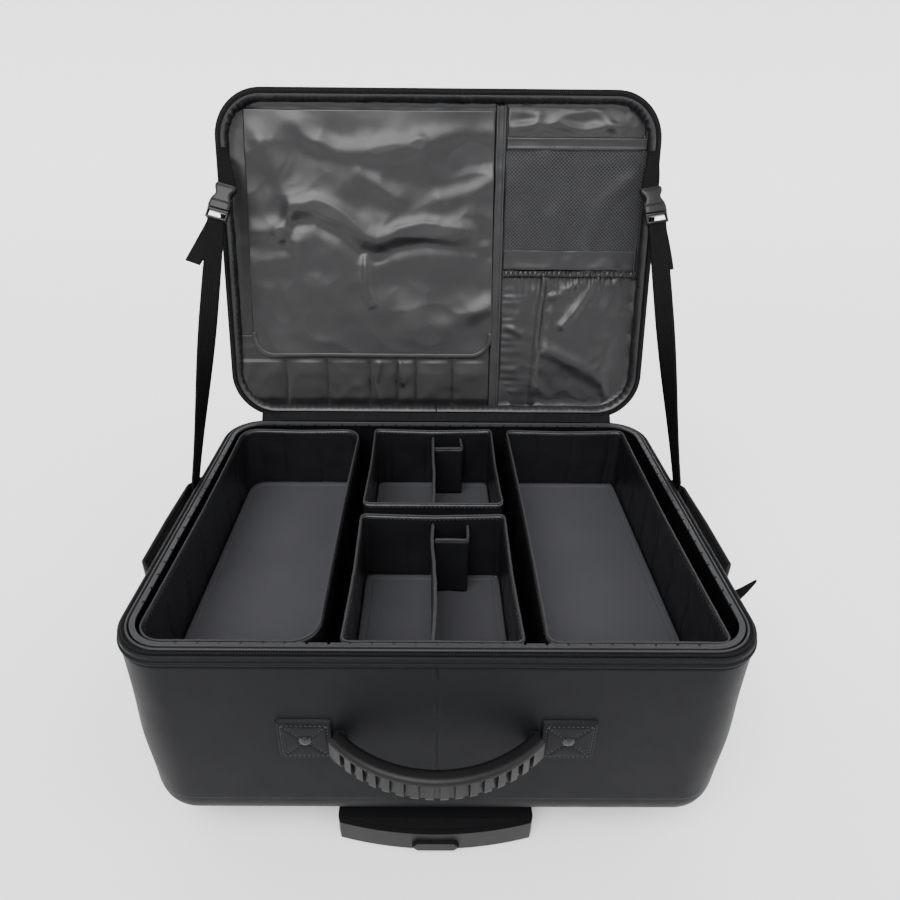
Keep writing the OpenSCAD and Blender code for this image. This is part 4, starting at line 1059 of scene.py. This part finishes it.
class CASE_OT_mesh_pocket(bpy.types.Operator):
    """Open net of the upper pocket"""

    bl_idname = "case.mesh_pocket"
    bl_label = "Mesh pocket"

    def execute(self, context):
        columns = context.scene.case_sizes.mesh_columns
        rows = round(columns * 100 / 143)

        bm = bmesh.new()
        bmesh.ops.create_grid(bm, x_segments=columns, y_segments=rows, size=0.5)
        straight = list(bm.edges)
        bmesh.ops.poke(bm, faces=list(bm.faces))
        bmesh.ops.dissolve_edges(bm, edges=[e for e in straight if e.is_valid and not e.is_boundary],
                                 use_verts=False)
        for vert in bm.verts:
            u, v = vert.co.x + 0.5, vert.co.y + 0.5
            x, y = POCKET_X + 144 * u, 186 + 100 * v
            rise = 2.2 * math.sin(math.pi * v) + 1.6 * soft(x, y, 21, 36)
            rise += 1.7 * crease(x, y, [(112, 284), (128, 240), (120, 195)], 9)
            rise += 1.9 * crease(x, y, [(205, 262), (180, 240), (160, 190)], 9)
            free = math.sin(math.pi * v) ** 0.4 if 0 < v < 1 else 0
            vert.co = Vector((x, y, 17.4 + max(-1.2, rise * free)))
        net = piece("mesh_pocket_net", bm, LID, "lid", "net", ("mesh_net",))
        wire = net.modifiers.new("threads", "WIREFRAME")
        wire.thickness, wire.use_replace, wire.use_even_offset = 0.0009, True, False

        def lining(u, v):
            x, y = POCKET_X + 143 * u, 184 + 103 * v
            rise = 2.6 * crease(x, y, [(112, 286), (130, 240), (118, 195)], 10)
            rise += 2.4 * crease(x, y, [(204, 258), (178, 236), (158, 190)], 9)
            rise += 1.6 * crease(x, y, [(76, 250), (96, 226), (120, 205)], 9) + 1.2 * ridged(x, y, 24, 34)
            return Vector((x, y, 14.9 + min(2.4, 0.8 * rise)))
        lid_cloth("mesh_pocket_back", surface(70, 52, lining, (143, 103)), "nylon_dark", (), 0.5)
        return {"FINISHED"}


class CASE_OT_gathered_pocket(bpy.types.Operator):
    """Gathered lower pocket with its elastic hem"""

    bl_idname = "case.gathered_pocket"
    bl_label = "Gathered pocket"

    # Lines of the pocket's folds, in the lid's frame: points, width and height
    FOLDS = [
        ([(117, 156), (113, 131), (110, 88), (107, 18)], 3.4, 3.4),
        ([(122, 150), (119, 120), (116, 80)], 4, -1.6),
        ([(174, 155), (151, 121), (138, 105)], 4.5, 2.2),
        ([(114, 81), (149, 66), (182, 46)], 8, 2.4),
        ([(150, 150), (134, 138), (118, 136)], 4.5, 1.8),
        ([(190, 150), (192, 110), (186, 60)], 9, 1.9),
        ([(82, 150), (88, 120), (80, 90)], 6, 1.2),
        ([(188, 40), (192, 24), (184, 12)], 5, 1.6),
        ([(76, 104), (92, 96)], 4, 1.8),
    ]

    def execute(self, context):
        def place(u, v):
            y = 11 + 147 * v
            right = min(216, lid_half(y, 4))
            x = POCKET_X + (right - POCKET_X) * u
            belly = 2.2 * math.sin(math.pi * v) * math.sin(math.pi * min(1, 0.15 + u))
            rise = sum(height * crease(x, y, line, width) for line, width, height in self.FOLDS)
            top = math.sin(2 * math.pi * x / 7.5 + 4 * soft(x, 0, 31, 22)) * math.exp(-(158 - y) / 9)
            left = math.sin(2 * math.pi * y / 9 + 4 * soft(0, y, 32, 22)) * math.exp(-(x - POCKET_X) / 8)
            rise += 1.3 * top + left + 0.8 * ridged(x, y, 33, 30) + 0.5 * soft(x, y, 34, 12)
            edge = min(1, 8 * min(u, 1 - u)) * min(1, 0.2 + 6 * v)
            return Vector((x, y, 15.2 + max(-0.3, (belly + rise) * (0.25 + 0.75 * edge))))
        pocket = lid_cloth("gathered_pocket_cloth", surface(132, 130, place, (143, 147)), "nylon",
                           ("gathered_pocket",), 0.6)

        def ruffle(u, v):
            x = POCKET_X + 145 * u
            wave = math.sin(2 * math.pi * x / 5.2 + 3 * soft(x, 0, 41, 15))
            turn = 2 * math.pi * v
            half = 2.9 + 0.6 * wave
            thick = 1.7 + 0.5 * math.cos(2 * math.pi * x / 2.6)
            return Vector((x, 160 + half * math.cos(turn) + 0.7 * wave,
                           17.6 + thick * math.sin(turn) + 0.5 * wave))
        hem = lid_cloth("gathered_hem", surface(290, 12, ruffle, (145, 16)), "nylon_dark")
        return {"FINISHED"}


class CASE_OT_straps(bpy.types.Operator):
    """Webbing straps that hold the lid open, with their loose tails"""

    bl_idname = "case.straps"
    bl_label = "Straps"

    WIDTH = 18

    def run(self, rings, length):
        """Webbing through rings of (centre, across)."""
        def place(u, v):
            at = v * (len(rings) - 1)
            k = min(len(rings) - 2, int(at))
            centre = rings[k][0].lerp(rings[k + 1][0], at - k)
            across = rings[k][1].lerp(rings[k + 1][1], at - k)
            return centre + across * (u - 0.5) * self.WIDTH
        return surface(8, 6 * len(rings), place, (self.WIDTH, length))

    def execute(self, context):
        step = (STRAP_END - STRAP_TOP)
        step.x = 0
        total = step.length
        down = step / total
        front = Vector((0, down.z, -down.y))
        for side, name, lean, swing in BUCKLES:
            rings, top = [], buckle_point(lean, 13.3)
            for k in range(13):
                t = k / 12
                turn = math.radians(lean * t)
                wide = 0.45 + 0.55 * math.sin(math.pi / 2 * t)
                rings.append((top * t + Vector((0, 0, 0.7 * math.sin(math.pi * t))),
                              Vector((math.cos(turn), math.sin(turn), 0)) * wide))
            piece(f"short_strap_{name}_webbing", self.run(rings, 40), strap_frame(side), "link_" + name,
                  "webbing", ("short_strap_" + name,), thickness=1.6)

            rings, start = [], buckle_point(lean, PLUG_END + 1.5)
            flip = Vector((side, 1, 1))
            for k in range(41):
                t = k / 40
                turn = math.radians(90 * t * t * (3 - 2 * t))
                tilt = math.radians(lean * (1 - t) ** 2)
                along = -start.y + t * (total + start.y)
                centre = Vector((0, STRAP_TOP.y, STRAP_TOP.z)) + down * along
                centre.x = STRAP_TOP.x + start.x + (STRAP_END.x - STRAP_TOP.x - start.x) * t
                across = Vector((math.cos(tilt), 0, 0)) - down * math.sin(tilt)
                rings.append((centre * flip, (across * math.cos(turn) + front * math.sin(turn)) * flip))
            for drop in (8, 16, 24, 32, 40):
                rings.append((Vector((STRAP_END.x, STRAP_END.y, STRAP_END.z - drop)) * flip,
                              Vector((0, -1, 0))))
            piece(f"long_strap_{name}_webbing", self.run(rings, 340), BODY, "case",
                  "webbing", ("long_strap_" + name,), thickness=1.5)

            rings = []
            for k in range(13):
                t = k / 12
                rings.append((Vector((swing * t ** 1.4, PLUG_END + 1 - 47 * t, -3.2 - 10 * t * t)),
                              Vector((1, 0.12 * t, -0.25 * t)).normalized()))
            piece(f"strap_tail_{name}", self.run(rings, 48), buckle_frame(side, lean), "case",
                  "webbing", thickness=1.5)
            rows = [[(Vector((side * 232.7, STRAP_END.y + y, 178.5 - z)), Vector((side, 0, 0)))
                     for y, z in line] for line in seams(8, 7.5)]
            threads(f"strap_stitches_{name}", rows, 3, 2, 0.4)
        return {"FINISHED"}


class CASE_OT_buckles(bpy.types.Operator):
    """Side-release buckles: waisted socket, and plug with its frame"""

    bl_idname = "case.buckles"
    bl_label = "Buckles"

    def socket(self):
        """A waisted shell, with a line round its middle where its two plates meet."""
        def half(t):
            waist = math.exp(-((t - 0.42) / 0.2) ** 2)
            return 11.5 - 3.4 * waist - 0.7 * math.exp(-(t / 0.05) ** 2)

        def place(u, v):
            angle = 2 * math.pi * v
            c, s = math.cos(angle), math.sin(angle)
            thick = 4.5 - 1.1 * math.exp(-(u / 0.12) ** 2) - 0.8 * math.exp(-((u - 0.72) / 0.02) ** 2)
            return Vector((math.copysign(abs(c) ** 0.35, c) * half(u), 13 - 26 * u,
                           math.copysign(abs(s) ** 0.5, s) * thick))
        bm = surface(60, 32, place, (26, 64))
        ends = [edge for edge in bm.edges if edge.is_boundary]
        bmesh.ops.holes_fill(bm, edges=ends, sides=40)
        return bm

    def plug(self):
        """The plug's frame, two bars and two rails, and a prong on each side of the waist."""
        bm = bmesh.new()
        for (x0, x1, y0, y1, z) in ((-11, 11, -24, -21.6, 2.0), (-11, 11, -16.2, -13.4, 2.6),
                                    (-11, -9.3, -23, -14, 2.0), (9.3, 11, -23, -14, 2.0),
                                    (-10.4, -7.6, -14, -1, 1.8), (7.6, 10.4, -14, -1, 1.8)):
            centre = Vector(((x0 + x1) / 2, (y0 + y1) / 2, 0))
            made = bmesh.ops.create_cube(bm, size=1, matrix=Matrix.Translation(centre)
                                         @ Matrix.Diagonal((x1 - x0, y1 - y0, 2 * z, 1)))
            edges = {edge for vert in made["verts"] for edge in vert.link_edges}
            bmesh.ops.bevel(bm, geom=list(edges), offset=0.6, offset_type="OFFSET", segments=3, profile=0.5,
                            affect="EDGES", material=-1)
        return bm

    def execute(self, context):
        for side, name, lean, _ in BUCKLES:
            where = buckle_frame(side, lean)
            piece(f"buckle_{name}_socket", self.socket(), where, "link_" + name, "buckle",
                  ("buckle_socket_" + name,))
            piece(f"buckle_{name}_plug", self.plug(), where, "plug_" + name, "buckle",
                  ("buckle_plug_" + name,))
        return {"FINISHED"}


class CASE_OT_hinge_gusset(bpy.types.Operator):
    """Pleated fabric that joins the lid's lower edge to the body's rim"""

    bl_idname = "case.hinge_gusset"
    bl_label = "Hinge gusset"

    HALF = 196

    def execute(self, context):
        def place(u, v):
            x = self.HALF * (2 * u - 1)
            low = Vector((x, 167.6, 214.2))
            past = max(0, abs(x) - 182)
            high = LID @ Vector((x, 8 + 0.02 * past * past, 25.2))
            pleat = 0.2 * math.sin(2 * math.pi * x / 9 + 3 * soft(x, 0, 61, 20)) * math.sin(math.pi * v)
            return low.lerp(high * 1000, v) + Vector((0, -pleat, 0.3 * pleat))
        gusset = piece("hinge_gusset", surface(260, 10, place, (2 * self.HALF, 12)), BODY, None,
                       "lining_fabric", thickness=0.5)
        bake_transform(gusset)
        return {"FINISHED"}


class CASE_PT_panel(bpy.types.Panel):
    """Lists the case's sizes, colours and pieces"""

    bl_idname = "CASE_PT_panel"
    bl_label = "Makeup case"
    bl_space_type = "VIEW_3D"
    bl_region_type = "UI"
    bl_category = "Makeup case"

    def draw(self, context):
        for group in (context.scene.case_sizes, context.scene.case_colours):
            for name in group.bl_rna.properties.keys():
                if name not in ("rna_type", "name"):
                    self.layout.prop(group, name)
        for operator in OPERATORS:
            self.layout.operator(operator.bl_idname)


OPERATORS = (CASE_OT_stage, CASE_OT_shells, CASE_OT_zips, CASE_OT_handle, CASE_OT_side_handles,
             CASE_OT_trays, CASE_OT_lid_lining, CASE_OT_brush_slots, CASE_OT_brush_flap,
             CASE_OT_lid_tapes, CASE_OT_mesh_pocket, CASE_OT_gathered_pocket, CASE_OT_straps,
             CASE_OT_buckles, CASE_OT_hinge_gusset)
CLASSES = (CaseSizes, CaseColours, *OPERATORS, CASE_PT_panel)


def register():
    for cls in CLASSES:
        bpy.utils.register_class(cls)
    bpy.types.Scene.case_sizes = PointerProperty(type=CaseSizes)
    bpy.types.Scene.case_colours = PointerProperty(type=CaseColours)


def unregister():
    del bpy.types.Scene.case_sizes
    del bpy.types.Scene.case_colours
    for cls in reversed(CLASSES):
        bpy.utils.unregister_class(cls)


def main():
    register()
    make_finishes(bpy.context.scene.case_colours)
    for operator in OPERATORS:
        group, name = operator.bl_idname.split(".")
        getattr(getattr(bpy.ops, group), name)()


if __name__ == "__main__":
    main()
